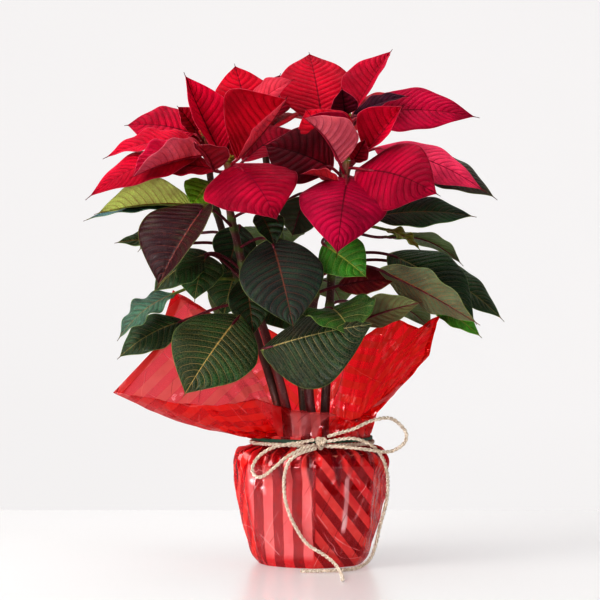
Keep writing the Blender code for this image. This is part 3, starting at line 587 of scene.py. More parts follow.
def petiole_line(leaf, start, steps):
    """The stalk's middle line, from the stem's middle to the blade's base, where it meets the midrib."""
    base = np.array(leaf["base"], float)
    ahead = blade_points(leaf, np.array(0.03), np.array(0.0)) - base
    reach = np.linalg.norm(base - start)
    first = start + (base - start) * 0.35 + np.array([0, 0, PETIOLE_RISE * reach ** 2])
    second = base - unit(ahead) * 0.35 * reach
    t = np.linspace(0, 1, steps + 1)[:, None]
    return (1 - t) ** 3 * start + 3 * t * (1 - t) ** 2 * first + 3 * t ** 2 * (1 - t) * second + t ** 3 * base


print("outline at the middle:", float(outline(np.array(0.5), 0.4)))

# %% Stems, bracts and leaves
STEMS = {
    "left": dict(line=((-13, -6, 48), (-14, -6, 82), (-22, -8, 130), (-37, -10, 182), (-52, -12, 225),
                       (-60, -13, 258), (-66, -15, 286), (-66, -17, 319)), radii=(4.2, 2.9)),
    "right": dict(line=((7, -5, 48), (6, -5, 82), (-2, -8, 130), (-2, -12, 185), (8, -14, 240),
                        (22, -15, 283), (28, -16, 320)), radii=(4.2, 2.9)),
    "top": dict(line=((9, 10, 48), (9, 11, 82), (12, 18, 150), (16, 26, 230), (24, 34, 300),
                      (28, 38, 358)), radii=(4.0, 2.8)),
    "far_left": dict(line=((-17, 10, 48), (-18, 11, 82), (-32, 16, 140), (-56, 20, 215), (-78, 18, 285),
                           (-86, 12, 342)), radii=(3.8, 2.6)),
    "back": dict(line=((-3, 17, 48), (-4, 18, 82), (-9, 30, 150), (-20, 42, 230), (-34, 50, 300),
                       (-41, 52, 353)), radii=(3.9, 2.7)),
}

BRACTS = {
    "left": [
        bract("cup", (-57, -24, 322), (-19, -40, 369), (-0.2, -0.95, 0.2), 84, -6, (10, 76), (16, 6),
              broad=0.56),
        bract("front", (-55, -34, 312), (-26, -74, 268), (0.05, -0.85, 0.52), 80, 9, (-14, -4),
              (-6, -18), 0.34, broad=0.3),
        bract("bud_leaf", (-78, -24, 313), (-90, -52, 330), (0.0, -0.35, 0.95), 36, 3, 32, -12),
        bract("upright", (-74, -10, 328), (-102, -8, 391), (0.25, -0.95, 0.1), 50, -4, (48, 12), (20, -10)),
        bract("right_back", (-53, -4, 322), (-10, 34, 348), (0.0, -0.6, 0.8), 42, 5, 16, -14),
        bract("left_low", (-77, -10, 313), (-127, -2, 307), (-0.1, -0.5, 0.85), 34, 7, 10, -16),
        bract("back_up", (-66, -4, 322), (-74, 26, 376), (0.1, -0.85, 0.5), 40, 4, 18, -12),
    ],
    "right": [
        bract("raised", (44, -18, 329), (72, -26, 364), (0.0, -0.96, 0.25), 48, -3, (8, 62), (16, 10)),
        bract("near_right", (46, -34, 311), (98, -68, 289), (0.15, -0.93, 0.35), 70, 8, (0, -12),
              (-12, -12), 0.3, broad=0.33),
        bract("far_right", (54, -8, 330), (138, -20, 294), (0.15, -0.75, 0.65), 46, 9, (2, 6), (-26, -18)),
        bract("heart", (27, -34, 301), (18, -90, 241), (0.0, -0.8, 0.6), 72, 11, (-6, -2), (-14, -20),
              0.3, broad=0.33),
        bract("folded", (21, -26, 319), (-8, -46, 352), (0.77, 0.0, 0.64), 50, 4, (60, 74), (10, 4)),
        bract("dark", (14, -18, 315), (-40, -4, 333), (0.0, -0.82, 0.57), 62, 5, 10, -18),
        bract("under", (20, -24, 302), (-10, -36, 308), (-0.1, 0.3, 0.95), 18, 3, 20, -12),
        bract("small", (33, -18, 320), (42, -24, 337), (0.35, -0.9, 0.2), 19, 1, (30, 40), 0),
        bract("back", (21, -6, 327), (-6, 8, 364), (0.0, -0.92, 0.4), 50, 3, 10, -12),
    ],
    "top": [
        bract("great", (8, 42, 362), (-2, 98, 420), (0.0, -0.78, 0.62), 66, 5, (8, 4), (-10, -14), 0.16),
        bract("high_right", (36, 46, 366), (68, 78, 420), (-0.25, -0.9, 0.35), 48, 3, (6, 52), (-8, 10)),
        bract("long_right", (42, 34, 361), (136, 20, 357), (0.05, -0.72, 0.7), 46, 7, (16, 2), (-10, -22)),
        bract("purple", (34, 24, 359), (79, 10, 374), (0.0, -0.5, 0.85), 24, 3, (20, 14), -8),
        bract("purple_small", (27, 24, 361), (24, 13, 381), (0.1, -0.95, 0.2), 26, 0, (20, 34), 4),
        bract("hidden_left", (15, 52, 364), (-8, 122, 408), (0.1, -0.7, 0.7), 50, 6, 12, -12),
        bract("back_right", (38, 52, 358), (100, 96, 374), (0.1, -0.2, 0.95), 50, 12, 12, -18),
        bract("back_low", (30, 56, 354), (34, 132, 348), (0.0, 0.4, 0.9), 52, 14, 12, -18),
    ],
    "far_left": [
        bract("left_high", (-98, 17, 345), (-152, 22, 351), (0.05, -0.8, 0.6), 50, 5, (14, 2), (-16, -20)),
        bract("left_mid", (-95, 4, 336), (-167, -4, 322), (0.0, -0.55, 0.83), 32, 7, 22, -18, wave=2.0),
        bract("left_tip", (-94, -4, 326), (-178, -30, 288), (-0.1, -0.6, 0.8), 46, 10, 6, -22),
        bract("trough", (-88, -8, 325), (-142, -46, 304), (0.05, 0.05, 1.0), 46, 3, (42, 50), (14, 8),
              wave=1.6),
        bract("spike", (-93, 6, 345), (-108, 0, 365), (0.5, -0.85, 0.2), 24, 1, 26, 0),
        bract("back_left", (-94, 22, 338), (-148, 74, 338), (-0.3, 0.2, 0.93), 44, 10, 12, -16),
        bract("back_far", (-86, 26, 342), (-98, 92, 352), (0.0, 0.0, 1.0), 46, 12, 12, -16),
    ],
    "back": [
        bract("high", (-51, 56, 355), (-65, 88, 409), (0.05, -0.86, 0.5), 50, 3, 8, -12),
        bract("high_left", (-50, 60, 354), (-68, 112, 400), (0.1, -0.7, 0.7), 44, 5, 12, -12),
        bract("pale", (-52, 42, 364), (-14, 16, 388), (-0.15, -0.75, 0.65), 36, 3, 14, -16),
        bract("back_a", (-44, 66, 350), (-62, 142, 352), (0.0, 0.35, 0.93), 52, 13, 12, -18),
        bract("back_b", (-34, 62, 352), (8, 124, 358), (0.1, 0.2, 0.95), 50, 12, 12, -16),
        bract("back_c", (-54, 60, 346), (-116, 112, 332), (-0.3, 0.3, 0.9), 50, 12, 12, -16),
        bract("in_gap", (-38, 63, 360), (-26, 98, 402), (0.0, -0.8, 0.5), 38, 2, 12, -10),
    ],
}

LEAVES = {
    "left": [
        blade("purple", 266, (-87, -40, 278), (-120, -60, 218), (-0.2, -0.95, 0.25), 78, 6, (44, 4),
              (20, -20), 0.14),
        blade("lower_left", 203, (-61, -44, 192), (-99, -78, 135), (-0.05, -0.92, 0.4), 70, 5, (6, 6),
              (-12, -16), 0.13),
        blade("centre", 250, (-30, -52, 251), (-14, -80, 186), (0.05, -0.93, 0.35), 66, 6, (6, 12),
              (-14, -20), 0.14),
        blade("twin_a", 220, (-84, -22, 243), (-92, -38, 208), (-0.25, -0.9, 0.35), 40, 4, 14, -14),
        blade("twin_b", 232, (-84, -16, 246), (-126, -24, 214), (-0.1, -0.65, 0.75), 44, 6, 10, -18),
        blade("hanging", 238, (-52, -24, 226), (-46, -36, 180), (0.1, -0.95, 0.2), 34, 4, 10, -12),
        blade("deep", 274, (-40, -40, 276), (-29, -50, 250), (0.3, -0.9, 0.25), 28, 3, 24, 6),
    ],
    "right": [
        blade("bottom", 178, (-34, -58, 173), (50, -72, 192), (0.05, -0.92, 0.4), 86, 6, (-38, 4),
              (-16, -18), 0.08),
        blade("curled", 190, (15, -45, 203), (31, -74, 180), (0.05, -0.62, 0.78), 60, 5, (12, 10),
              (12, 10), wave=2.4),
        blade("bright", 262, (10, -38, 252), (43, -56, 226), (0.0, -0.9, 0.45), 40, 3, 12, -12),
        blade("crimson", 214, (22, -16, 221), (70, -24, 226), (0.0, -0.85, 0.5), 26, 3, 10, -14),
        blade("pale_under", 228, (56, -30, 232), (130, -50, 190), (0.2, 0.72, 0.62), 38, 3, 12, -10,
              wave=2.6),
        blade("shelf", 285, (52, -16, 276), (130, -20, 275), (0.05, -0.6, 0.8), 44, 5, 10, -18),
        blade("pale_low", 200, (34, -34, 192), (86, -44, 208), (0.1, 0.7, 0.6), 32, 3, 14, -10),
    ],
    "top": [
        blade("right_big", 240, (68, 12, 244), (131, -10, 190), (0.4, -0.82, 0.42), 58, 10, (8, 6),
              (-18, -18), 0.1),
        blade("right_far", 232, (86, 30, 236), (156, 22, 192), (0.3, -0.65, 0.7), 44, 8, 8, -18),
        blade("grey", 300, (76, 16, 322), (149, 8, 290), (0.1, -0.65, 0.75), 44, 8, 6, -20),
        blade("small_bright", 228, (99, 26, 206), (137, 12, 179), (0.2, -0.7, 0.65), 24, 3, 8, -14),
        blade("curl", 268, (60, 8, 266), (87, 0, 249), (0.3, -0.5, 0.8), 16, 3, 20, -14, wave=2.0),
        blade("rear_right", 262, (62, 60, 262), (128, 84, 238), (0.3, 0.2, 0.92), 52, 10, 10, -18),
        blade("rear_low", 205, (50, 66, 206), (104, 104, 182), (0.3, 0.4, 0.85), 52, 10, 10, -18),
    ],
    "far_left": [
        blade("pale", 288, (-100, -3, 286), (-172, -22, 277), (-0.05, 0.35, 0.93), 44, 4, (40, 20),
              (8, -8)),
        blade("blue", 280, (-104, 12, 284), (-184, 10, 273), (-0.1, -0.3, 0.95), 34, 6, 10, -16),
        blade("lime", 300, (-82, -4, 303), (-96, -14, 283), (-0.1, -0.93, 0.3), 32, 2, 12, -10),
        blade("tip_left", 252, (-112, 6, 256), (-158, 0, 255), (-0.1, -0.55, 0.83), 26, 3, 10, -14),
        blade("crinkled", 225, (-112, 2, 214), (-155, -8, 177), (-0.5, -0.6, 0.65), 32, 6, 14, -16,
              wave=3.0),
        blade("low_left", 205, (-106, 12, 192), (-156, 2, 162), (-0.35, -0.75, 0.55), 40, 6, 8, -16),
        blade("rear_left", 262, (-98, 48, 266), (-146, 82, 250), (-0.3, 0.3, 0.9), 50, 9, 10, -18),
        blade("behind", 262, (-58, 10, 268), (-68, 2, 230), (-0.05, -0.97, 0.2), 36, 3, 10, -10),
    ],
    "back": [
        blade("rear_a", 262, (-30, 84, 268), (-36, 146, 244), (0.0, 0.45, 0.9), 54, 11, 10, -18),
        blade("rear_b", 215, (-44, 76, 220), (-84, 124, 192), (-0.3, 0.45, 0.85), 54, 10, 10, -18),
        blade("rear_c", 222, (6, 84, 226), (28, 136, 202), (0.1, 0.5, 0.85), 54, 10, 10, -18),
        blade("mid_gap", 284, (-6, 24, 292), (-16, 4, 260), (0.0, 0.9, 0.4), 32, 3, 10, -12),
        blade("rear_d", 292, (-66, 78, 296), (-112, 122, 280), (-0.3, 0.35, 0.9), 48, 9, 10, -18),
        blade("rear_e", 288, (-6, 78, 296), (46, 120, 284), (0.25, 0.3, 0.92), 50, 9, 10, -18),
        blade("inner_low", 206, (-36, 34, 224), (-4, 14, 180), (0.1, -0.92, 0.3), 52, 5, 10, -12),
        blade("inner_left", 234, (-60, 34, 240), (-72, 20, 194), (-0.15, -0.92, 0.3), 44, 4, 12, -12),
    ],
}
print("stems:", len(STEMS), "bracts:", sum(map(len, BRACTS.values())),
      "leaves:", sum(map(len, LEAVES.values())))

# %% [markdown]
# No two blades have one colour. Old bracts are crimson, the newest are nearly black, folded ones show
# their pale underside, and the leaves go from bottle green to lime. One material with a random tint
# would give a random plant, so each blade carries three paints of its own: its upper side, its
# underside, and its midrib. The veins take a mixture of the side's paint and the midrib's.

# %% Paints
BRACT_PAINT = ("C8072E", "D44553", "770522")
LEAF_PAINT = ("1A3E22", "607C48", "90804E")
# Some paints hold painted light as well as colour: far_right, upright and the underside of trough are set
# lighter than their own colour, because they lie turned from the lamps or in shade, and the underside of the
# leaf pale is set lighter as painted light that shines through it.
PAINTS = {
    "cup": ("AF0628", "E45A70", "880621"), "front": ("AC0638", "D03C5F", "840330"),
    "bud_leaf": ("68041E", "952237", "470416"), "upright": ("E31047", "D74C63", "81082A"),
    "right_back": ("9E0631", "C03A53", "62041B"), "left_low": ("B80737", "D2435C", "750521"),
    "raised": ("C10738", "D6435A", "830625"), "near_right": ("A8053A", "CC3651", "66051F"),
    "far_right": ("FA4A74", "DC6277", "9A0E37"), "heart": ("A80440", "C83458", "62021E"),
    "folded": ("BC0C46", "DD7280", "A11441"), "dark": ("62031B", "8F1426", "3A020E"),
    "small": ("97052C", "C43C53", "58041A"), "great": ("C40932", "DA4C61", "880724"),
    "high_right": ("BA0938", "DC566A", "860827"), "long_right": ("BC0D46", "D84D64", "81082A"),
    "purple": ("44142E", "5C2A48", "2A0A1C"), "purple_small": ("620E2C", "9A3650", "3A0820"),
    "left_high": ("C00A3C", "D85166", "81082A"), "left_mid": ("D0183E", "DC5C70", "8C0B2D"),
    "left_tip": ("CB0B38", "DA4F63", "920927"), "trough": ("D6164E", "F07C90", "A0143C"),
    "spike": ("A60731", "CA4054", "6C041B"), "pale": ("D24456", "DC7078", "A82038"),
    "in_gap": ("830527", "AC3145", "51031A"),
    "leaf purple": ("34081C", "C0748F", "86443A"), "leaf lower_left": ("13361D", "668648", "B0945A"),
    "leaf centre": ("192C2A", "5C7054", "7C4636"), "leaf bottom": ("132C1D", "5A7448", "A8986A"),
    "leaf curled": ("2E5C24", "84A254", "B6A668"), "leaf bright": ("387E28", "7CA048", "9CA050"),
    "leaf crimson": ("7C0B20", "983044", "4E0814"), "leaf pale_under": ("4E6630", "66745A", "C67834"),
    "leaf shelf": ("163E28", "5C7E50", "86704A"), "leaf pale_low": ("5C5E30", "6A6E4A", "86502E"),
    "leaf right_big": ("173A20", "56744A", "8C8658"), "leaf grey": ("4A4840", "7C7868", "7E4C38"),
    "leaf small_bright": ("468C28", "86AA4C", "A0A050"), "leaf curl": ("8A8A32", "A09C4C", "8C3C26"),
    "leaf pale": ("6C8A32", "D2DE7E", "A85C3C"), "leaf blue": ("3F6E74", "6E949A", "7C6A58"),
    "leaf lime": ("6CA018", "98BC40", "A8A848"), "leaf tip_left": ("234825", "6A884A", "8E6A3C"),
    "leaf crinkled": ("42685A", "80988A", "8E7A5C"), "leaf twin_a": ("1F4320", "66824A", "8C7A4C"),
    "leaf deep": ("102518", "3C5838", "5E4028"), "leaf behind": ("122A1B", "45603E", "6A4A30"),
    "leaf mid_gap": ("122619", "40583A", "5E4028"), "leaf hanging": ("16331E", "547048", "7A5034"),
}


def paints_of(leaf, is_bract):
    """A blade's paints: its upper side, its underside and its midrib."""
    name = leaf["name"] if is_bract else "leaf " + leaf["name"]
    return [colour(code) for code in PAINTS.get(name, BRACT_PAINT if is_bract else LEAF_PAINT)]


print("blades with paints of their own:", len(PAINTS))

# %% [markdown]
# The vein pattern is one node group for all four blade materials. It could be painted on an image, but
# each blade has its own length and number of veins. So the group reads where it is on the blade: across
# the midrib, along it, and which vein is nearest. It puts out masks for the midrib, the side veins, the
# fine net between them, the swellings, the dark tip and the thin pale margin.

# %% Vein group
def vein_group():
    """The masks of a blade's pattern, read from the place, half and vein count that its mesh carries."""
    tree, entry, leave = new_group("blade veins", {"Rib Width": 0.8, "Vein Width": 0.08, "Net Size": 520.0},
                                   ["Rib", "Veins", "Net", "Swelling", "Margin", "Tip"])
    place = node(tree, "Attribute", attribute_name="place")
    parts = node(tree, "SeparateXYZ")
    feed(tree, parts.inputs[0], place.outputs["Vector"])
    across, ahead, phase = parts.outputs
    half = node(tree, "Attribute", attribute_name="half").outputs["Fac"]
    side = maths(tree, "ABSOLUTE", across)
    from_rib = times(tree, side, half)
    rib_width = times(tree, entry["Rib Width"], between(tree, ahead, 0.0, 1.0, 1.25, 0.45))
    rib = between(tree, maths(tree, "DIVIDE", from_rib, rib_width), 0.45, 1.0, 1.0, 0.0)
    feed(tree, leave["Rib"], rib)
    wobble = times(tree, maths(tree, "SUBTRACT", noise(tree, 55, 2.0), 0.5), 0.35)
    turn = maths(tree, "FRACT", maths(tree, "ADD", phase, wobble))
    apart = maths(tree, "SUBTRACT", 0.5, maths(tree, "ABSOLUTE", maths(tree, "SUBTRACT", turn, 0.5)))
    width = times(tree, entry["Vein Width"], between(tree, side, 0.1, 1.0, 1.0, 0.35))
    veins = between(tree, maths(tree, "DIVIDE", apart, width), 0.35, 1.15, 1.0, 0.0)
    fade = between(tree, side, 0.8, 1.0, 1.0, 0.25)
    feed(tree, leave["Veins"], times(tree, veins, fade))
    cells = node(tree, "TexVoronoi", feature="DISTANCE_TO_EDGE")
    feed(tree, cells.inputs["Vector"], node(tree, "TexCoord").outputs["Object"])
    feed(tree, cells.inputs["Scale"], entry["Net Size"])
    feed(tree, leave["Net"], between(tree, cells.outputs["Distance"], 0.0, 0.16, 1.0, 0.0))
    feed(tree, leave["Swelling"], between(tree, apart, 0.05, 0.5))
    feed(tree, leave["Tip"], between(tree, ahead, 0.93, 0.965))
    from_margin = times(tree, maths(tree, "SUBTRACT", 1.0, side), half)
    feed(tree, leave["Margin"], between(tree, from_margin, 0.15, 0.6, 1.0, 0.0))
    return tree


VEIN_GROUP = vein_group()
print("vein group outputs:", [s.name for s in VEIN_GROUP.interface.items_tree if s.in_out == "OUTPUT"])

# %% Blade materials
BLADE_BUMP = 0.0006
# The light that the swellings pass on, painted into their colour.
PETAL_PAINTED_LIGHT = (0.1, 0.0, 0.01, 1)
LEAF_PAINTED_LIGHT = (0.012, 0.05, 0.008, 1)
THIN = dict(Subsurface_Radius=(1.0, 0.25, 0.2), Subsurface_Scale=0.002)


def blade_look(name, side, vein_depth, vein_width, net_depth, glow, painted_light_share, margin, roughness,
               **constants):
    """A blade's upper or under side. side is the attribute that holds its paint, glow is painted light that
    is added to the paint on the swellings, for the light that they pass on, and the depths say how much of
    the midrib's paint the veins and the net take."""
    made, tree, shader = new_material(name, **constants)
    skin = node(tree, "Attribute", attribute_name=side).outputs["Color"]
    rib_paint = node(tree, "Attribute", attribute_name="rib").outputs["Color"]
    pattern = node(tree, "Group", node_tree=VEIN_GROUP)
    pattern.inputs["Vein Width"].default_value = vein_width
    veins = pattern.outputs
    clouds = patches(tree, 38, 3.0, 0.3, 0.72)
    shade = mixed(tree, clouds, (0.66, 0.6, 0.66, 1), (1.16, 1.2, 1.14, 1))
    paint = mixed(tree, 1.0, skin, shade, "MULTIPLY")
    # Painted light: the swellings between the veins are made lighter by glow, for the light that they pass
    # on.
    bright = times(tree, times(tree, veins["Swelling"], clouds), painted_light_share)
    paint = mixed(tree, bright, paint, mixed(tree, 1.0, paint, glow, "ADD"))
    paint = mixed(tree, times(tree, veins["Net"], net_depth), paint, rib_paint)
    # The veins take the midrib's paint. On the bracts it is darker, so there the veins are partly their own
    # colour and partly painted shade in their grooves.
    paint = mixed(tree, times(tree, veins["Veins"], vein_depth), paint, rib_paint)
    paint = mixed(tree, veins["Rib"], paint, rib_paint)
    paint = mixed(tree, times(tree, veins["Margin"], 0.55), paint, margin)
    dark_tip = mixed(tree, 0.6, rib_paint, colour("2A0C10"))
    paint = mixed(tree, veins["Tip"], paint, dark_tip)
    feed(tree, shader.inputs["Base Color"], paint)
    feed(tree, shader.inputs["Roughness"], between(tree, noise(tree, 300, 3.0), 0.3, 0.7, *roughness))
    pits = noise(tree, 1400, 2.0)
    height = maths(tree, "SUBTRACT", times(tree, veins["Swelling"], 0.5), veins["Veins"])
    height = maths(tree, "SUBTRACT", height, times(tree, veins["Net"], 0.30))
    height = maths(tree, "ADD", height, times(tree, pits, 0.14))
    way = 1.0 if side == "skin" else -1.0
    feed(tree, shader.inputs["Normal"], bump(tree, times(tree, height, way), BLADE_BUMP))
    return made


bract_face = blade_look("bract face", "skin", 0.4, 0.085, 0.18, PETAL_PAINTED_LIGHT, 0.7, colour("E06478"),
                        (0.42, 0.6), Subsurface_Weight=0.08, Specular_IOR_Level=0.1, **THIN)
bract_back = blade_look("bract back", "under", 0.34, 0.085, 0.16, PETAL_PAINTED_LIGHT, 0.3, colour("F0AAB0"),
                        (0.46, 0.62), Subsurface_Weight=0.3, Specular_IOR_Level=0.3, **THIN)
leaf_face = blade_look("leaf face", "skin", 0.64, 0.062, 0.16, LEAF_PAINTED_LIGHT, 0.8, colour("9AA860"),
                       (0.28, 0.42), Subsurface_Weight=0.04, Specular_IOR_Level=0.3, **THIN)
leaf_back = blade_look("leaf back", "under", 0.7, 0.05, 0.22, LEAF_PAINTED_LIGHT, 0.4, colour("B4C080"),
                       (0.5, 0.66), Subsurface_Weight=0.05, **THIN)
print("blade looks:", bract_face.name, bract_back.name, leaf_face.name, leaf_back.name)

# %% Stem material
def stalk_look():
    """Stems and leaf stalks: waxy skin in the paint that each carries, streaked along it, with corky dots."""
    made, tree, shader = new_material("stalk skin", Subsurface_Weight=0.06, **THIN)
    skin = node(tree, "Attribute", attribute_name="skin").outputs["Color"]
    streaks = between(tree, noise(tree, 260, 4.0, stretch=(1, 1, 0.12)), 0.35, 0.7)
    shade = mixed(tree, streaks, (0.7, 0.68, 0.7, 1), (1.2, 1.15, 1.1, 1))
    paint = mixed(tree, 1.0, skin, shade, "MULTIPLY")
    dots = patches(tree, 700, 1.0, 0.66, 0.74)
    feed(tree, shader.inputs["Base Color"], mixed(tree, times(tree, dots, 0.5), paint, colour("B49A78")))
    feed(tree, shader.inputs["Roughness"], between(tree, streaks, 0.0, 1.0, 0.5, 0.36))
    feed(tree, shader.inputs["Normal"], bump(tree, maths(tree, "ADD", streaks, dots), 0.0002))
    return made


STALK_LOOK = stalk_look()
print("made", STALK_LOOK.name)

# %% Make one blade
VEIN_PITCH = 5.6
SWELL = 0.8  # how far the skin of a leaf 60 mm wide rises between its veins
BRACT_CALM = 0.72  # the share of that in a bract
GROOVE = 0.45
BLADE_THICK = 0.34
BIG_BLADE = 50  # the width from which a blade gets the finer grid
FINE_GRID = (24, 84)
PLAIN_GRID = (18, 56)
STALK_STEPS = 14
RIDGE_POINTS = 26


def vein_phase(leaf, u, v):
    """Counts the side veins along a blade. It is a whole number on each of them."""
    length = np.linalg.norm(np.array(leaf["tip"], float) - leaf["base"])
    count = max(6, round(length / VEIN_PITCH))
    side = np.abs(v)
    return count * (u - (0.17 * side + 0.11 * side ** 2) * (1 - 0.35 * u)) + 0.5


def relief(leaf, u, v):
    """How far the skin stands above the blade's middle surface.

    Between two veins it swells, by chance more or less, and it sinks to a groove along the midrib.
    """
    half = np.maximum(leaf["width"] / 2 * outline(u, leaf["broad"]), TIP_HALF_WIDTH)
    side = np.abs(v)
    phase = vein_phase(leaf, u, v)
    between_veins = (0.5 - 0.5 * np.cos(2 * np.pi * phase)) ** 0.8
    chance = (np.sin((np.floor(phase) + 40 * (v < 0) + leaf["width"]) * 12.9898) * 43758.5) % 1
    pucker = (0.45 + 0.55 * chance) * (0.78 + 0.22 * np.cos(2 * np.pi * (side * half / 6.5 + chance)))
    across = np.sin(np.pi * np.clip(side, 0, 1) ** 0.7)
    height = SWELL * (BRACT_CALM if leaf["join"] is None else 1.0) * (leaf["width"] / 60) ** 0.5
    swell = height * between_veins * pucker * across * np.minimum(half / 12, 1)
    return swell - GROOVE * np.exp(-(side * half / 1.3) ** 2) * np.minimum(half / 6, 1)


def make_blade(leaf, face_look, back_look, paints):
    """A grid bent into the blade's surface, given its attributes and thickened, with its underside below."""
    columns, rows = FINE_GRID if leaf["width"] >= BIG_BLADE else PLAIN_GRID
    bpy.ops.object.select_all(action="DESELECT")
    bpy.ops.mesh.primitive_grid_add(x_subdivisions=columns, y_subdivisions=rows, size=2)
    made = bpy.context.object
    made.name = leaf["name"]
    mesh = made.data
    place = np.empty(3 * len(mesh.vertices))
    mesh.vertices.foreach_get("co", place)
    v, t = place.reshape(-1, 3)[:, 0], (place.reshape(-1, 3)[:, 1] + 1) / 2
    u = 0.6 * t + 0.4 * (1 - np.cos(np.pi * t)) / 2
    points = blade_points(leaf, u, v) + blade_normals(leaf, u, v) * relief(leaf, u, v)[:, None]
    mesh.vertices.foreach_set("co", (points * MM).ravel())
    half = leaf["width"] / 2 * outline(u, leaf["broad"])
    where = np.stack([v, u, vein_phase(leaf, u, v)], axis=1)
    mesh.attributes.new("place", "FLOAT_VECTOR", "POINT").data.foreach_set("vector", where.ravel())
    mesh.attributes.new("half", "FLOAT", "POINT").data.foreach_set("value", half)
    for attribute, value in zip(("skin", "under", "rib"), paints):
        coloured(made, attribute, value)
    mesh.materials.append(face_look)
    mesh.materials.append(back_look)
    shell = made.modifiers.new("thickness", "SOLIDIFY")
    shell.thickness = BLADE_THICK * MM
    shell.offset = 0
    shell.material_offset = 1
    bpy.ops.object.modifier_apply(modifier=shell.name)
    bpy.ops.object.shade_smooth()
    return made


def make_stalk(leaf, start, skin):
    """The stalk from the stem, which runs on under the blade as its midrib and thins out to its tip."""
    u = np.linspace(0, 0.97, RIDGE_POINTS)
    ridge_radii = np.interp(u, (0, 0.12, 1), (PETIOLE_RADIUS, 0.75, 0.18))
    groove = GROOVE * np.minimum(leaf["width"] / 12 * outline(u, leaf["broad"]), 1)
    depth = (ridge_radii + groove - 0.05) * np.minimum(1, u / 0.05)
    ridge = blade_points(leaf, u, 0 * u) - blade_normals(leaf, u, 0 * u) * depth[:, None]
    stalk = petiole_line(leaf, start, STALK_STEPS)
    line = np.vstack([stalk[:-1], ridge])
    radii = np.concatenate([np.full(STALK_STEPS, PETIOLE_RADIUS), ridge_radii])
    made = tube(leaf["name"] + " stalk", line, radii, 2)
    coloured(made, "skin", skin)
    made.data.materials.append(STALK_LOOK)
    bpy.ops.object.shade_smooth()
    return made


def at_height(line, height):
    """The point of a rising line at a height."""
    return np.array([np.interp(height, line[:, 2], line[:, k]) for k in range(3)])


print("vein pitch:", VEIN_PITCH, "mm")

# %% [markdown]
# A stem is not a plain rod. It swells a little at each joint where a leaf grows, it is green there and
# brown to purple between, and old leaf scars show as darker rings. The stalks leave it at the heights
# of their leaves, so the same list places the joints.

# %% Make the leafy stems
RECEPTACLE = 25.0
STEM_GAP = 0.35
JOINT_SWELL = 0.2
STEM_PAINT = {"left": "6E3A3C", "right": "5C3034", "top": "54302E", "far_left": "5A3A34", "back": "4C3A2E"}
JOINT_PAINT = "5E7A34"
STALK_PAINT = "66122C"
GREEN_STALK_PAINT = "7A8A3C"
GREEN_STALKS = {"pale", "lime", "blue", "crinkled", "curl", "small_bright"}


def stem_body(name, line, radii, joints, bark, joint_paint):
    """A stem along a line, swollen and greener at its joints."""
    line_radii = np.array(radii, float)
    near = np.zeros(len(line))
    for height in joints:
        near = np.maximum(near, np.exp(-((line[:, 2] - height) / 2.6) ** 2))
    made = tube(name, line, line_radii * (1 + JOINT_SWELL * near), 4)
    spots = np.empty(3 * len(made.data.vertices))
    made.data.vertices.foreach_get("co", spots)
    heights = spots.reshape(-1, 3)[:, 2] / MM
    share = np.interp(heights, line[:, 2], near)[:, None]
    coloured(made, "skin", (1 - share) * np.array(bark) + share * np.array(joint_paint))
    made.data.materials.append(STALK_LOOK)
    bpy.ops.object.shade_smooth()
    return made


def leafy_stem(name):
    """A stem up to where its bracts start, with its leaves on their stalks."""
    line = smooth_line(STEMS[name]["line"], 2)
    top = line[-1][2] - RECEPTACLE - STEM_GAP
    lower = np.vstack([line[line[:, 2] < top - 1], at_height(line, top)])
    fine = evenly(smooth_line(lower, 3), 1.6)
    radii = np.interp(fine[:, 2], (line[0][2], line[-1][2]), STEMS[name]["radii"])
    joints = [leaf["join"] for leaf in LEAVES[name]]
    pieces = [stem_body(name, fine, radii, joints, colour(STEM_PAINT[name]), colour(JOINT_PAINT))]
    for leaf in LEAVES[name]:
        paints = paints_of(leaf, False)
        skin = colour(GREEN_STALK_PAINT if leaf["name"] in GREEN_STALKS else STALK_PAINT)
        pieces.append(make_blade(leaf, leaf_face, leaf_back, paints))
        pieces.append(make_stalk(leaf, at_height(line, leaf["join"]), skin))
    worn_by(joined("stem_and_leaves_" + name, pieces), None, "leafy_stem_" + name, slot="leaf")


for stem_name in STEMS:
    leafy_stem(stem_name)

# %% [markdown]
# A bloom is the stem's last stretch with its bracts, which are leaves that turned red. They join it one
# close below the other, so their heights are counted down from the top and not listed. A bract's stalk
# takes a paint halfway between its midrib's and crimson, so that the two meet without a step.

# %% Make the blooms
BRACT_TOP = 4.0
BRACT_PITCH = 2.3
RECEPTACLE_RADIUS = 2.8
BRACT_STALK_PAINT = "B02040"


def bloom(name):
    """The top of a stem with its bracts."""
    line = smooth_line(STEMS[name]["line"], 2)
    top = line[-1]
    neck = STEMS[name]["radii"][1]
    foot = at_height(line, top[2] - RECEPTACLE)
    fine = evenly(np.vstack([foot, at_height(line, top[2] - RECEPTACLE / 2), top]), 1.2)
    joins = top[2] - BRACT_TOP - BRACT_PITCH * np.arange(len(BRACTS[name]))
    radii = np.interp(fine[:, 2], (foot[2], top[2]), (neck, RECEPTACLE_RADIUS))
    pieces = [stem_body(name, fine, radii, joins, colour("7E8A3A"), colour("8A4A3A"))]
    for leaf, join in zip(BRACTS[name], joins):
        paints = paints_of(leaf, True)
        skin = 0.5 * np.array(paints[2]) + 0.5 * np.array(colour(BRACT_STALK_PAINT))
        pieces.append(make_blade(leaf, bract_face, bract_back, paints))
        pieces.append(make_stalk(leaf, at_height(line, join), skin))
    worn_by(joined("bloom_" + name, pieces), None, "bracts_" + name, slot="bract")


for stem_name in STEMS:
    bloom(stem_name)

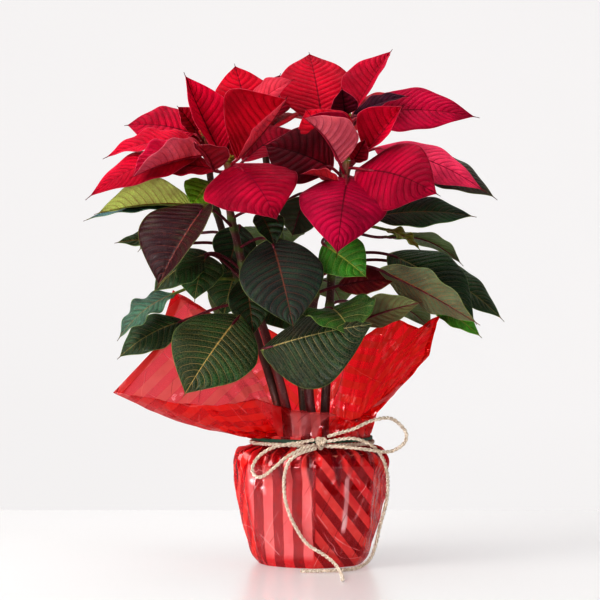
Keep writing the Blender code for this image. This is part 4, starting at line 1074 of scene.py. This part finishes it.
# %% [markdown]
# The true flowers are small green cups in the middle of the red bracts. Each has a fringe of red
# stamens at its mouth and a yellow lip of nectar on its side. A ball on a stick would miss both, so one
# flower is modelled in full from a sphere and a ring, and then copied round each bloom with its own lean.

# %% Flower materials
def bud_look(name, low, high, roughness):
    """A juicy part of the flower, finely grained from a darker to a lighter paint."""
    made, tree, shader = new_material(name, Roughness=roughness, Subsurface_Weight=0.1, **THIN)
    grain = patches(tree, 500, 3.0, 0.35, 0.65)
    feed(tree, shader.inputs["Base Color"], mixed(tree, grain, colour(low), colour(high)))
    feed(tree, shader.inputs["Normal"], bump(tree, grain, 0.0002))
    return made


cup_look = bud_look("flower cup", "7E8E30", "B2BE50", 0.45)
lip_look = bud_look("nectar lip", "D8B820", "F0D850", 0.22)
stamen_look = bud_look("stamens", "8E1018", "D03828", 0.5)
print("flower looks:", cup_look.name, lip_look.name, stamen_look.name)

# %% Model one flower
BUD_RADIUS = 1.75
BUD_HEIGHT = 6.5


def shaped(made, points):
    """Moves a piece's vertices to these points in millimetres."""
    made.data.vertices.foreach_set("co", (points * MM).ravel())
    bpy.ops.object.shade_smooth()
    return made


def mesh_points(made):
    """A piece's vertices, in Blender's own metres."""
    points = np.empty(3 * len(made.data.vertices))
    made.data.vertices.foreach_get("co", points)
    return points.reshape(-1, 3)


def flower_cup():
    """A sphere drawn up to a cup on a short stalk, with eight soft ribs."""
    bpy.ops.object.select_all(action="DESELECT")
    bpy.ops.mesh.primitive_uv_sphere_add(segments=20, ring_count=14, radius=1)
    made = bpy.context.object
    x, y, z = mesh_points(made).T
    share = (z + 1) / 2
    angle = np.arctan2(y, x)
    profile = np.interp(share, (0, 0.06, 0.3, 0.62, 0.86, 1), (0.45, 0.5, 0.62, 1.0, 0.72, 0.3))
    round_share = np.hypot(x, y) / np.maximum(np.sqrt(1 - z ** 2), 1e-6)
    ribs = 1 + 0.05 * np.cos(8 * angle)
    radius = BUD_RADIUS * profile * ribs * np.where(np.abs(z) > 0.999, 0, round_share)
    height = share * BUD_HEIGHT * 0.9
    made = shaped(made, np.stack([radius * np.cos(angle), radius * np.sin(angle), height], axis=1))
    made.data.materials.append(cup_look)
    return made


def nectar_lip():
    """A ring squeezed to an open mouth on the side of the cup."""
    bpy.ops.object.select_all(action="DESELECT")
    bpy.ops.mesh.primitive_torus_add(major_segments=16, minor_segments=8, major_radius=0.62,
                                     minor_radius=0.27)
    made = bpy.context.object
    x, y, z = mesh_points(made).T
    out, height = BUD_RADIUS * 0.92 + z * 0.8, BUD_HEIGHT * 0.62 + y * 0.75
    made = shaped(made, np.stack([out, x * 1.25, height], axis=1))
    made.data.materials.append(lip_look)
    return made


def stamens():
    """A few short filaments at the mouth of the cup, each with a round head."""
    pieces = []
    for i in range(7):
        angle = 2 * math.pi * i / 6
        lean = 0.0 if i == 6 else 0.55
        way = np.array([math.cos(angle), math.sin(angle), 0]) * lean
        foot = way * 0.6 + (0, 0, BUD_HEIGHT * 0.84)
        line = np.array([foot, foot + way * 0.5 + (0, 0, 0.6), foot + way + (0, 0, 1.05)])
        piece = tube("stamen", line, [0.16, 0.2, 0.3], 0)
        piece.data.materials.append(stamen_look)
        pieces.append(piece)
    return joined("stamens", pieces)


flower = joined("flower", [flower_cup(), nectar_lip(), stamens()])
print("one flower has", len(flower.data.polygons), "faces")

# %% Place the flowers
BUDS = {"left": 6, "right": 8, "top": 6, "far_left": 6, "back": 6}
BUD_RING = 2.5


def lean_and_place(points, way, lean, spin, foot, size):
    """Points spun about their own axis, leaned over towards a way and put at a foot."""
    x, y, z = points.T
    turned = np.stack([x * math.cos(spin) - y * math.sin(spin), x * math.sin(spin) + y * math.cos(spin), z],
                      axis=1) * size
    out = turned @ way
    leaned = turned + out[:, None] * (math.cos(lean) - 1) * way
    leaned = leaned + turned[:, 2:3] * math.sin(lean) * way
    leaned[:, 2] = turned[:, 2] * math.cos(lean) - out * math.sin(lean)
    return leaned + foot


def flower_group(name):
    """A ring of flowers round one in the middle, on a green cushion at the top of a stem."""
    count = BUDS[name]
    top = np.array(STEMS[name]["line"][-1], float) + (0, 0, 0.5)
    pieces = []
    shape = mesh_points(flower) / MM
    for i in range(count):
        angle = 2 * math.pi * i / (count - 1)
        middle = i == count - 1
        way = np.array([math.cos(angle), math.sin(angle), 0.0])
        size = 0.98 if middle else 0.8 + 0.1 * (i % 3)
        foot = top + way * (0 if middle else BUD_RING)
        copy = flower.copy()
        copy.data = flower.data.copy()
        bpy.context.scene.collection.objects.link(copy)
        lean, spin = (0.0, angle + 0.6) if middle else (0.2, angle)
        moved = lean_and_place(shape, way, lean, spin, foot, size)
        copy.data.vertices.foreach_set("co", (moved * MM).ravel())
        pieces.append(copy)
    layers = np.array([top - (0, 0, 0.2), top + (0, 0, 0.7), top + (0, 0, 1.3)])
    cushion = tube("cushion", layers, [2.6, 3.9, 3.2], 4)
    cushion.data.materials.append(cup_look)
    bpy.ops.object.shade_smooth()
    worn_by(joined("flowers_" + name, [cushion] + pieces), None, "buds_" + name, slot="bud")


for stem_name in STEMS:
    flower_group(stem_name)
bpy.data.objects.remove(flower)

# %% [markdown]
# The wrap is one square of thin printed film. The pot stands in its middle, the film is gathered up the
# sides, tied at the neck, and its corners stand out above as loose flaps. A cloth simulation would give
# soft folds, but film creases in straight lines between flat facets. So the surface is laid out by rows
# from under the pot to the free edge, and straight folds that cross each other are pressed into it.
# The wall is a list of (height, radius), and the free edge a ring of points in equal steps of angle.

# %% Film rows
WRAP_WALL = ((0.4, 41.5), (9, 47), (32, 55), (57, 60), (74, 60.8), (82, 59.8), (87.4, 57.6), (89.8, 55.8))
WRAP_RIM = (
    (101, -6, 197), (88, 30, 186), (66, 52, 196), (44, 66, 178), (14, 72, 186), (-14, 70, 172),
    (-44, 68, 190), (-80, 54, 196), (-113, 34, 218), (-127, 12, 170), (-158, -10, 136), (-108, -38, 129),
    (-74, -50, 127), (-44, -57, 133), (-16, -55, 124), (14, -54, 122), (30, -50, 114), (46, -42, 117),
    (66, -40, 138), (92, -26, 166),
)
WRAP_LIFT = (24, 25, 25, 25, 25, 25, 25, 25, 22, 14, -1, -2, 0, 8, 16, 16, 16, 18, 22, 24)
WRAP_LEAN = 0.42
FULL_LIFT = 25.0
FILM_COLUMNS = 320
FOOT_RADIUS = 41.5
FOOT_HEIGHT = 0.45
NECK_RADIUS = 45.5
NECK_HEIGHT = 94.6
NECK_LENGTH = 8.4
SHOULDER_RADIUS = 56.2
SHOULDER_HEIGHT = 90.4
FLAP_ROWS = 42
CORNERS = (8, 47, 86, 124, 160, 190, 215, 272, 322)  # where the flat panels of the body meet, in degrees
HEM = (3, 2, 2, 2, 2, 2, 3, 9, 10, 4, 7, 5, 2, 2, 1, 1, 2, 4, 3, 7)  # how wide the edge is turned in


def panel_share(angle):
    """How far a flat panel lies inside the circle through its two corners, from 0 at a corner."""
    degrees = np.degrees(angle) % 360
    corners = np.array(CORNERS + (CORNERS[0] + 360,), float)
    degrees = np.where(degrees < corners[0], degrees + 360, degrees)
    index = np.clip(np.searchsorted(corners, degrees, side="right") - 1, 0, len(CORNERS) - 1)
    middle = (corners[index] + corners[index + 1]) / 2
    reach = np.radians((corners[index + 1] - corners[index]) / 2)
    return 1 - np.cos(reach) / np.cos(np.radians(degrees - middle))


def round_rim(values, angle):
    """Values given for each point of the free edge, read at every column."""
    values = np.array(values, float)
    around = angle / (2 * np.pi) * len(values)
    low = around.astype(int) % len(values)
    share = (around % 1).reshape((-1,) + (1,) * (values.ndim - 1))
    return values[low] * (1 - share) + values[(low + 1) % len(values)] * share


def film_base():
    """The film's middle surface as rows of points before its creases, and how pleated and creased each is."""
    angle = np.linspace(0, 2 * np.pi, FILM_COLUMNS + 1)
    ways = np.stack([np.cos(angle), np.sin(angle), 0 * angle], axis=1)
    up = np.array([0.0, 0.0, 1.0])
    rows, pleat, crease = [], [], []

    def add(points, pleated, creased):
        """One more row, further from the middle of the sheet."""
        rows.append(points)
        pleat.append(pleated)
        crease.append(creased)

    for radius in np.linspace(0, FOOT_RADIUS, 6)[:-1]:
        add(ways * radius + up * FOOT_HEIGHT, 0.0, 0.0)
    inward = panel_share(angle)
    spread = 1.03 - 0.03 * np.clip(np.cos(angle), 0, 1)
    for height, radius, _ in smooth_line([(h, r, 0) for h, r in WRAP_WALL], 8):
        flat = np.clip(height / 20, 0.4, 1) * np.clip((82 - height) / 12, 0.12, 1)
        add(ways * (radius * spread * (1 - flat * inward))[:, None] + up * max(height, FOOT_HEIGHT),
            1.7 * np.clip((height - 58) / 30, 0, 1) ** 1.5, np.clip(height / 12, 0, 1))
    for share in np.linspace(0, 1, 7)[1:]:
        radius = SHOULDER_RADIUS + (NECK_RADIUS - SHOULDER_RADIUS) * share
        height = SHOULDER_HEIGHT + (NECK_HEIGHT - SHOULDER_HEIGHT) * share
        add(ways * radius + up * height, 1.6 - 0.7 * share, 0.8 - 0.6 * share)
    for share in np.linspace(0, 1, 6)[1:]:
        add(ways * (NECK_RADIUS + 0.4 * share) + up * (NECK_HEIGHT + NECK_LENGTH * share), 0.9, 0.15)
    throat = rows[-1]
    rim = round_rim(WRAP_RIM, angle)
    lift = round_rim(WRAP_LIFT, angle)[:, None]
    lifted = throat + up * lift + (rim - throat) * (1, 1, 0) * WRAP_LEAN * (1 - lift / FULL_LIFT)
    for t in np.linspace(0, 1, FLAP_ROWS + 1)[1:]:
        add((1 - t) ** 2 * throat + 2 * t * (1 - t) * lifted + t ** 2 * rim,
            0.9 * (1 - t) + 1.9 * math.exp(-((t - 0.16) / 0.14) ** 2) + 0.2, 0.15 + 0.55 * t ** 0.6)
    return angle, np.array(rows), np.array(pleat), np.array(crease)


film_angle, film_points, film_pleat, film_crease = film_base()
BODY_ROWS = len(film_points) - FLAP_ROWS
print("film rows:", len(film_points), "columns:", FILM_COLUMNS)

# %% Creases and pleats
CREASES = 12
PLEATS = 29


def fold_wave(position):
    """A straight zigzag from -1 to 1 that repeats with every whole number."""
    return 1 - 4 * np.abs(position % 1 - 0.5)


def pleat_count(angle):
    """Counts the pleats round the neck, which are not all of one width."""
    return PLEATS * angle / (2 * np.pi) + 0.35 * np.sin(3 * angle + 1) + 0.2 * np.sin(7 * angle)


def film_relief(angle, flat, pleat, crease):
    """Pleats that run up the film, and long straight creases that cross it on the flat sheet."""
    draw = np.random.default_rng(5)
    folds = fold_wave(pleat_count(angle)) * (0.7 + 0.3 * np.sin(5 * angle + 2))
    height = pleat[:, None] * folds[None, :]
    for _ in range(CREASES):
        way = draw.uniform(0, np.pi)
        length = draw.uniform(26, 90)
        across = flat[..., 0] * math.cos(way) + flat[..., 1] * math.sin(way)
        beside = flat[..., 1] * math.cos(way) - flat[..., 0] * math.sin(way)
        sharp = np.maximum(0, fold_wave(across / length + draw.uniform(0, 1)) * 1.5 - 0.5)
        patch = np.clip(0.5 + 0.8 * np.sin(beside / draw.uniform(12, 34) + draw.uniform(0, 6.3)), 0, 1)
        height = height + crease[:, None] * draw.uniform(0.5, 1.3) * sharp * patch
    return height - 0.8 * crease[:, None]


def surface_normals(points):
    """The outward normals of a surface given by rows that close on themselves."""
    across = np.gradient(points, axis=1)
    across[:, 0] = across[:, -1] = points[:, 1] - points[:, -2]
    return unit(np.cross(across, np.gradient(points, axis=0)))


def with_hem(points, angle):
    """Turns the free edge in: a second layer that lies just inside the film, down to the hem's width."""
    rim, below = points[-1], points[-4]
    width = round_rim(HEM, angle)[:, None]
    inside = -surface_normals(points)[-1]
    down = unit(below - rim)
    layers = [rim + inside * 0.5 + down * 0.1]
    for share in (0.35, 0.7, 1.0):
        layers.append(rim + inside * (0.8 + 0.5 * share) + down * width * share)
    return np.concatenate([points, np.array(layers)])


steps = np.linalg.norm(np.diff(film_points, axis=0), axis=2)
flat_radius = np.vstack([np.zeros(FILM_COLUMNS + 1), np.cumsum(steps, axis=0)])
flat_map = np.stack([flat_radius * np.cos(film_angle), flat_radius * np.sin(film_angle)], axis=2)
film_height = film_relief(film_angle, flat_map, film_pleat, film_crease)
film_height[:, -1] = film_height[:, 0]
film_shaped = film_points + surface_normals(film_points) * film_height[..., None]
film_shaped = with_hem(film_shaped, film_angle)
film_shaped[:, -1] = film_shaped[:, 0]
film_shaped[..., 2] = np.maximum(film_shaped[..., 2], 0.35)
print("longest way from the middle to the film's edge, mm:", round(float(flat_radius[-1].max())))

# %% [markdown]
# The stripes are printed straight on the flat sheet. Between two folds the film is still flat, so each
# panel carries straight stripes at a slant of its own, and the slant jumps at the fold, where the rest
# of the sheet is tucked away. So each face takes its place on the sheet from the flat panel it is in.
# The leans below are the slants of the stripes in degrees, and a second number makes them wider.

# %% Lay the stripes on the panels
BODY_LEANS = ((110,), (150,), (20,), (60,), (-60,), (-30, 1.2), (-4, 1.35), (43, 1.05), (70, 1.2))
COLLAR_FOLDS = (0, 1, 2, 3.5, 5, 6, 7, 8, 10, 11.6, 13, 15.3, 17, 18, 19)
COLLAR_LEANS = ((60,), (20,), (100,), (40,), (150,), (80,), (100,), (96, 1.2), (84, 1.2), (60,), (4, 1.2),
                (40,), (120,), (65,), (25,))


def panel_place(points, lean, wide=1.0):
    """Places on a flat panel in millimetres: across its stripes and along them. points is a patch of rows."""
    foot, top = points[0].mean(0), points[-1].mean(0)
    up = unit(top - foot)
    middle = points[len(points) // 2]
    side = middle[-1] - middle[0]
    side = unit(side - side @ up * up)
    turn = math.radians(lean)
    level, rise = (points - foot) @ side, (points - foot) @ up
    return np.stack([(level * math.cos(turn) + rise * math.sin(turn)) / wide,
                     rise * math.cos(turn) - level * math.sin(turn)], axis=-1)


def sheet_places(points, angle):
    """The place on the sheet for the four corners of each face."""
    rows, columns = points.shape[0] - 1, points.shape[1] - 1
    places = np.zeros((rows, columns, 4, 2))
    degrees = np.degrees(angle)
    body_edges = [0] + [int(np.argmin(np.abs(degrees - c))) for c in CORNERS] + [columns]
    body_leans = (BODY_LEANS[-1],) + BODY_LEANS
    collar_edges = [round(f / len(WRAP_RIM) * columns) for f in COLLAR_FOLDS] + [columns]
    blocks = [(0, BODY_ROWS - 1, body_edges, body_leans), (BODY_ROWS - 1, rows, collar_edges, COLLAR_LEANS)]
    for low, high, edges, leans in blocks:
        for start, stop, lean in zip(edges, edges[1:], leans):
            patch = panel_place(points[low:high + 1, start:stop + 1], *lean)
            corners = patch[:-1, :-1], patch[:-1, 1:], patch[1:, 1:], patch[1:, :-1]
            places[low:high, start:stop] = np.stack(corners, axis=2)
    return places.reshape(-1, 2) * MM


film_places = sheet_places(film_shaped, film_angle)
print("faces with a place on the sheet:", len(film_places) // 4)

# %% [markdown]
# The film is clear and red, with opaque coral stripes, and it shines. Glass would bend what is behind
# it and take long to render, so the film is a mixture: some of the light goes straight through and is
# tinted, and the rest meets printed or creased plastic. An attribute holds painted light: above 0 a
# painted milky sheen and painted highlights, where the film would mirror the window, and below 0 a deeper
# red where the film lies double, painted on the body's sides for light from behind that shines through
# it. A second one says where the pleats below the tie are pressed into several layers and painted dark,
# as painted shade; thin dark lines along some creases are painted shade too. Above the neck it hangs
# free, with light behind it.

# %% Film material
STRIPE = 6.2


def crease_lines(tree, turn, spacing, scatter):
    """A mask of thin broken lines a spacing apart, square to the turned X, and the height of the folds."""
    spun = node(tree, "Mapping")
    spun.inputs["Rotation"].default_value = turn
    feed(tree, spun.inputs["Vector"], node(tree, "TexCoord").outputs["Object"])
    parts = node(tree, "SeparateXYZ")
    feed(tree, parts.inputs[0], spun.outputs[0])
    drift = times(tree, noise(tree, 9, 1.0), 1.7)
    count = maths(tree, "ADD", maths(tree, "DIVIDE", parts.outputs["X"], spacing * MM), drift)
    apart = maths(tree, "ABSOLUTE", maths(tree, "SUBTRACT", maths(tree, "FRACT", count), 0.5))
    kept = between(tree, noise(tree, scatter, 1.0), 0.5, 0.6)
    return times(tree, between(tree, apart, 0.0, 0.02, 1.0, 0.0), kept), apart


def film_look():
    """Clear red film printed with coral stripes. What is behind it shows through, redder with each layer."""
    made, tree, shader = new_material("striped film", Roughness=0.25, IOR=1.5, Specular_IOR_Level=0.2)
    parts = node(tree, "SeparateXYZ")
    feed(tree, parts.inputs[0], node(tree, "UVMap", uv_map="flat sheet").outputs[0])
    count = maths(tree, "DIVIDE", parts.outputs["X"], 2 * STRIPE * MM)
    from_middle = maths(tree, "ABSOLUTE", maths(tree, "SUBTRACT", maths(tree, "FRACT", count), 0.5))
    ink = between(tree, from_middle, 0.24, 0.262)
    veil = patches(tree, 24, 3.0, 0.4, 0.7)
    wear = patches(tree, 160, 4.0, 0.35, 0.7)
    line, facets = crease_lines(tree, (0, 0.3, 0.7), 19, 31)
    for turn, spacing, scatter in (((0, -0.45, 0.2), 27, 37), ((0.4, 1.1, 0), 33, 43)):
        more, height = crease_lines(tree, turn, spacing, scatter)
        line = maths(tree, "MAXIMUM", line, more)
        facets = maths(tree, "ADD", facets, height)
    # dark_line: thin dark lines along some creases, as painted shade in the folds.
    dark_line, _ = crease_lines(tree, (0.2, -0.25, -0.5), 21, 28)
    # painted_sheen is the attribute's part above 0: painted milky sheen and painted highlights. Below 0 it
    # marks doubled film, and on the body's sides a deeper red painted for light from behind.
    layers = node(tree, "Attribute", attribute_name="painted_sheen").outputs["Fac"]
    painted_sheen = times(tree, maths(tree, "MAXIMUM", layers, 0.0),
                 between(tree, noise(tree, 17, 2.0), 0.3, 0.65, 0.55, 1.0))
    deep = maths(tree, "MAXIMUM", times(tree, layers, -1.0), 0.0)
    pleat_shade_and_layers = node(tree, "Attribute", attribute_name="gather").outputs["Fac"]
    print_paint = mixed(tree, veil, colour("EC363E"), colour("FA5C56"))
    clear_paint = mixed(tree, veil, colour("E00A24"), colour("F01E3C"))
    paint = mixed(tree, ink, clear_paint, print_paint)
    # Where the film lies double it takes a deeper red; on the body's sides this deeper red is painted light,
    # for light from behind that shines through the film.
    paint = mixed(tree, deep, paint, mixed(tree, ink, colour("E40622"), colour("FF3222")))
    # Painted sheen and painted highlights: pale pink where the film would mirror the window.
    paint = mixed(tree, times(tree, painted_sheen, 0.65), paint, colour("F8D2D4"))
    # Painted shade in the pleat valleys below the tie, where the film is also pressed into several layers.
    paint = mixed(tree, times(tree, pleat_shade_and_layers, 0.9), paint, colour("5E0216"))
    # Painted shade along some creases.
    paint = mixed(tree, times(tree, dark_line, 0.75), paint, colour("6A0216"))
    creased = mixed(tree, times(tree, line, 0.5), paint, colour("FFC6C6"))
    feed(tree, shader.inputs["Base Color"], creased)
    feed(tree, shader.inputs["Roughness"], between(tree, wear, 0.0, 1.0, 0.18, 0.32))
    dents = bump(tree, maths(tree, "ADD", facets, times(tree, noise(tree, 75, 2.0), 0.3)), 0.0022)
    clear = node(tree, "BsdfTransparent")
    through = mixed(tree, ink, (0.97, 0.38, 0.42, 1), (1.0, 0.52, 0.5, 1))
    through_both = mixed(tree, ink, (0.98, 0.08, 0.12, 1), (1.0, 0.24, 0.2, 1))
    feed(tree, clear.inputs["Color"], mixed(tree, deep, through, through_both))
    where = node(tree, "SeparateXYZ")
    feed(tree, where.inputs[0], node(tree, "TexCoord").outputs["Object"])
    free = between(tree, where.outputs["Z"], 0.096, 0.112)
    cover = times(tree, between(tree, ink, 0.0, 1.0, 0.14, 0.64), between(tree, free, 0.0, 1.0, 1.0, 0.72))
    deep_cover = between(tree, free, 0.0, 1.0, 0.62, 0.18)
    for mark, share in ((line, 0.55), (painted_sheen, 0.5), (deep, deep_cover), (pleat_shade_and_layers, 0.85), (dark_line, 0.7)):
        cover = maths(tree, "MAXIMUM", cover, times(tree, mark, share))
    glow = node(tree, "BsdfTranslucent")
    feed(tree, glow.inputs["Color"], paint)
    lit = node(tree, "MixShader")
    feed(tree, lit.inputs[0], between(tree, free, 0.0, 1.0, 0.1, 0.6))
    feed(tree, lit.inputs[1], shader.outputs[0])
    feed(tree, lit.inputs[2], glow.outputs[0])
    body = node(tree, "MixShader")
    feed(tree, body.inputs[0], cover)
    feed(tree, body.inputs[1], clear.outputs[0])
    feed(tree, body.inputs[2], lit.outputs[0])
    gloss = node(tree, "BsdfGlossy")
    feed(tree, gloss.inputs["Roughness"], between(tree, veil, 0.0, 1.0, 0.07, 0.24))
    feed(tree, gloss.inputs["Normal"], dents)
    shine = node(tree, "MixShader")
    feed(tree, shine.inputs[0], between(tree, node(tree, "Fresnel").outputs[0], 0.0, 1.0, 0.04, 0.32))
    feed(tree, shine.inputs[1], body.outputs[0])
    feed(tree, shine.inputs[2], gloss.outputs[0])
    feed(tree, tree.nodes["Material Output"].inputs["Surface"], shine.outputs[0])
    return made


FILM_LOOK = film_look()
print("made", FILM_LOOK.name)

# %% [markdown]
# The surface could be given its painted sheen and highlights, its doubled places and its painted pleat
# shade by hand with a brush. A list says the same in numbers that can be read and changed. Each place has
# its middle and half its width in degrees, its lowest and its highest edge in millimetres, and its
# strength: above 0 for painted sheen and highlights, below 0 where the film lies double, which on the
# body's sides is a deeper red painted for light from behind.

# %% Make the film
FILM_THICK = 0.16
GATHER_TOP = 97.0
GATHER_FOOT = 84.0  # where the shortest pleats under the tie end
GATHER_REACH = 24.0  # how much further down the longest ones run
# Painted sheen, painted highlights and doubled film: above 0 painted light, below 0 film that lies double,
# with the places on the body's sides painted a deeper red for light from behind.
PAINTED_LIGHT_AND_DOUBLE = ((243.5, 28, 6, 82, 0.55), (262, 13, 101, 126, 1.0), (222, 10, 104, 128, 0.9), (298.5, 3, 26, 76, 1.5),
        (156, 30, 108, 240, 0.6), (213, 21, 99, 160, -1.0), (197, 18, 4, 92, -0.75), (341, 17, 6, 90, -1.0),
        (0, 62, 104, 240, -0.7), (86, 24, 104, 240, -0.5), (322, 7, 112, 150, 0.8))


def film_gather(points, angle):
    """How deep in a pleat the film lies below the tie, where it is pressed together in several layers and
    is painted dark as painted shade.
    """
    long_ones = 0.5 + 0.5 * np.sin(11 * angle + 2 * np.sin(4 * angle))
    foot = GATHER_FOOT - GATHER_REACH * long_ones ** 2
    valley = np.clip(0.35 - 1.1 * fold_wave(pleat_count(angle)), 0, 1)
    height = points[..., 2]
    return np.clip((height - foot) / 7, 0, 1) * np.clip((GATHER_TOP - height) / 3, 0, 1) * valley


def film_painted_light_and_double(points, angle):
    """How much painted sheen and painted highlight lie on the film at each point, above 0, or how much it
    lies double, below 0, which on the body's sides stands for painted light from behind.
    """
    degrees, height = np.degrees(angle)[None, :], points[..., 2]
    share = np.zeros(points.shape[:2])
    for middle, half, low, high, strength in PAINTED_LIGHT_AND_DOUBLE:
        inside = np.clip((half - np.abs((degrees - middle + 180) % 360 - 180)) / 1.5, 0, 1)
        inside = inside * np.clip((height - low) / 5, 0, 1) * np.clip((high - height) / 5, 0, 1)
        share = np.where(np.abs(strength) * inside > np.abs(share), strength * inside, share)
    return share


def make_film():
    """A grid moved onto the film's rows, given its place on the sheet, merged at its seam and thickened."""
    bpy.ops.object.select_all(action="DESELECT")
    bpy.ops.mesh.primitive_grid_add(x_subdivisions=FILM_COLUMNS, y_subdivisions=len(film_shaped) - 1, size=1)
    made = bpy.context.object
    mesh = made.data
    mesh.vertices.foreach_set("co", (film_shaped.reshape(-1, 3) * MM).ravel())
    mesh.uv_layers.active.name = "flat sheet"
    mesh.uv_layers["flat sheet"].uv.foreach_set("vector", film_places.ravel())
    for name, values in (("painted_sheen", film_painted_light_and_double), ("gather", film_gather)):
        layer = mesh.attributes.new(name, "FLOAT", "POINT")
        layer.data.foreach_set("value", values(film_shaped, film_angle).ravel())
    bpy.ops.object.mode_set(mode="EDIT")
    bpy.ops.mesh.select_all(action="SELECT")
    bpy.ops.mesh.remove_doubles(threshold=0.00002)
    bpy.ops.object.mode_set(mode="OBJECT")
    shell = made.modifiers.new("thickness", "SOLIDIFY")
    shell.thickness = FILM_THICK * MM
    shell.offset = 0
    bpy.ops.object.modifier_apply(modifier=shell.name)
    bpy.ops.object.shade_smooth_by_angle(angle=math.radians(10))
    made.name = mesh.name = "film_wrap"
    return made


film = make_film()
worn_by(film, FILM_LOOK, "wrap", slot="film")

# %% [markdown]
# The pot is the thin brown plastic kind that a nursery uses. It shows only as a dark shape through the
# film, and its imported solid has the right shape, so it only gets a material: moulded plastic with fine
# scuffs. The soil in it is seen from above. A bumpy disc looks like felt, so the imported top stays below
# a layer of loose crumbs and a few white grains.

# %% Pot and soil
pot_look, tree, shader = new_material("nursery plastic", Roughness=0.5)
scuffs = patches(tree, 140, 5.0, 0.45, 0.75, roughness=0.7)
feed(tree, shader.inputs["Base Color"], mixed(tree, scuffs, colour("9A4E38"), colour("B87860")))
feed(tree, shader.inputs["Roughness"], between(tree, scuffs, 0.0, 1.0, 0.38, 0.7))
feed(tree, shader.inputs["Normal"], bump(tree, scuffs, 0.0002))
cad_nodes["pot"].material_slots[0].material = pot_look

soil_look, tree, shader = new_material("damp peat", Roughness=0.95)
lumps = noise(tree, 180, 5.0, 0.7)
crumbly = between(tree, lumps, 0.35, 0.7)
feed(tree, shader.inputs["Base Color"], mixed(tree, crumbly, colour("1E1510"), colour("4A3626")))
feed(tree, shader.inputs["Normal"], bump(tree, lumps, 0.0015))
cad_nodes["soil"].material_slots[0].material = soil_look

# %% Crumbs
SOIL_TOP = 78.0
SOIL_CROWN = 3.0
SOIL_RADIUS = 47.0
CRUMBS = 420
STEM_ROOM = 7.0  # no crumb lies nearer to a stem's middle
WHITE_SHARE = 0.09
grain_look, tree, shader = new_material("white grains", Roughness=0.8)
feed(tree, shader.inputs["Base Color"], mixed(tree, noise(tree, 600), colour("D8D2C4"), colour("F4F1EA")))


def make_crumbs():
    """Small lumps with eighty faces, strewn over the soil but not where the stems stand."""
    draw = np.random.default_rng(3)
    bpy.ops.object.select_all(action="DESELECT")
    bpy.ops.mesh.primitive_ico_sphere_add(subdivisions=2, radius=1)
    lump = bpy.context.object
    shape = mesh_points(lump) * (1 + 0.22 * draw.standard_normal((len(lump.data.vertices), 1)))
    faces = [tuple(p.vertices) for p in lump.data.polygons]
    bpy.data.objects.remove(lump)
    feet = [np.array(stem["line"][1][:2], float) for stem in STEMS.values()]
    points, corners, is_white = [], [], []
    while len(is_white) < CRUMBS:
        radius, angle = SOIL_RADIUS * math.sqrt(draw.uniform(0, 1)), draw.uniform(0, 2 * math.pi)
        spot = np.array([radius * math.cos(angle), radius * math.sin(angle)])
        if min(np.linalg.norm(spot - foot) for foot in feet) < STEM_ROOM:
            continue
        size = draw.uniform(0.8, 2.4) * np.array([1, draw.uniform(0.5, 1), draw.uniform(0.35, 0.8)])
        crown = np.interp(radius / 50, (0, 0.4, 0.72, 1), (1, 1, 0.6, 0))
        height = SOIL_TOP + SOIL_CROWN * crown + 0.2 * size[2]
        start = len(points) * len(shape)
        points.append(shape * size + (*spot, height))
        corners += [tuple(start + c for c in face) for face in faces]
        is_white.append(draw.uniform() < WHITE_SHARE)
    mesh = bpy.data.meshes.new("soil_crumbs")
    mesh.from_pydata((np.vstack(points) * MM).tolist(), [], corners)
    made = bpy.data.objects.new("soil_crumbs", mesh)
    bpy.context.scene.collection.objects.link(made)
    mesh.materials.append(soil_look)
    mesh.materials.append(grain_look)
    mesh.polygons.foreach_set("material_index", np.repeat(np.array(is_white, int), len(faces)))
    return made


worn_by(make_crumbs(), None, slot="soil")
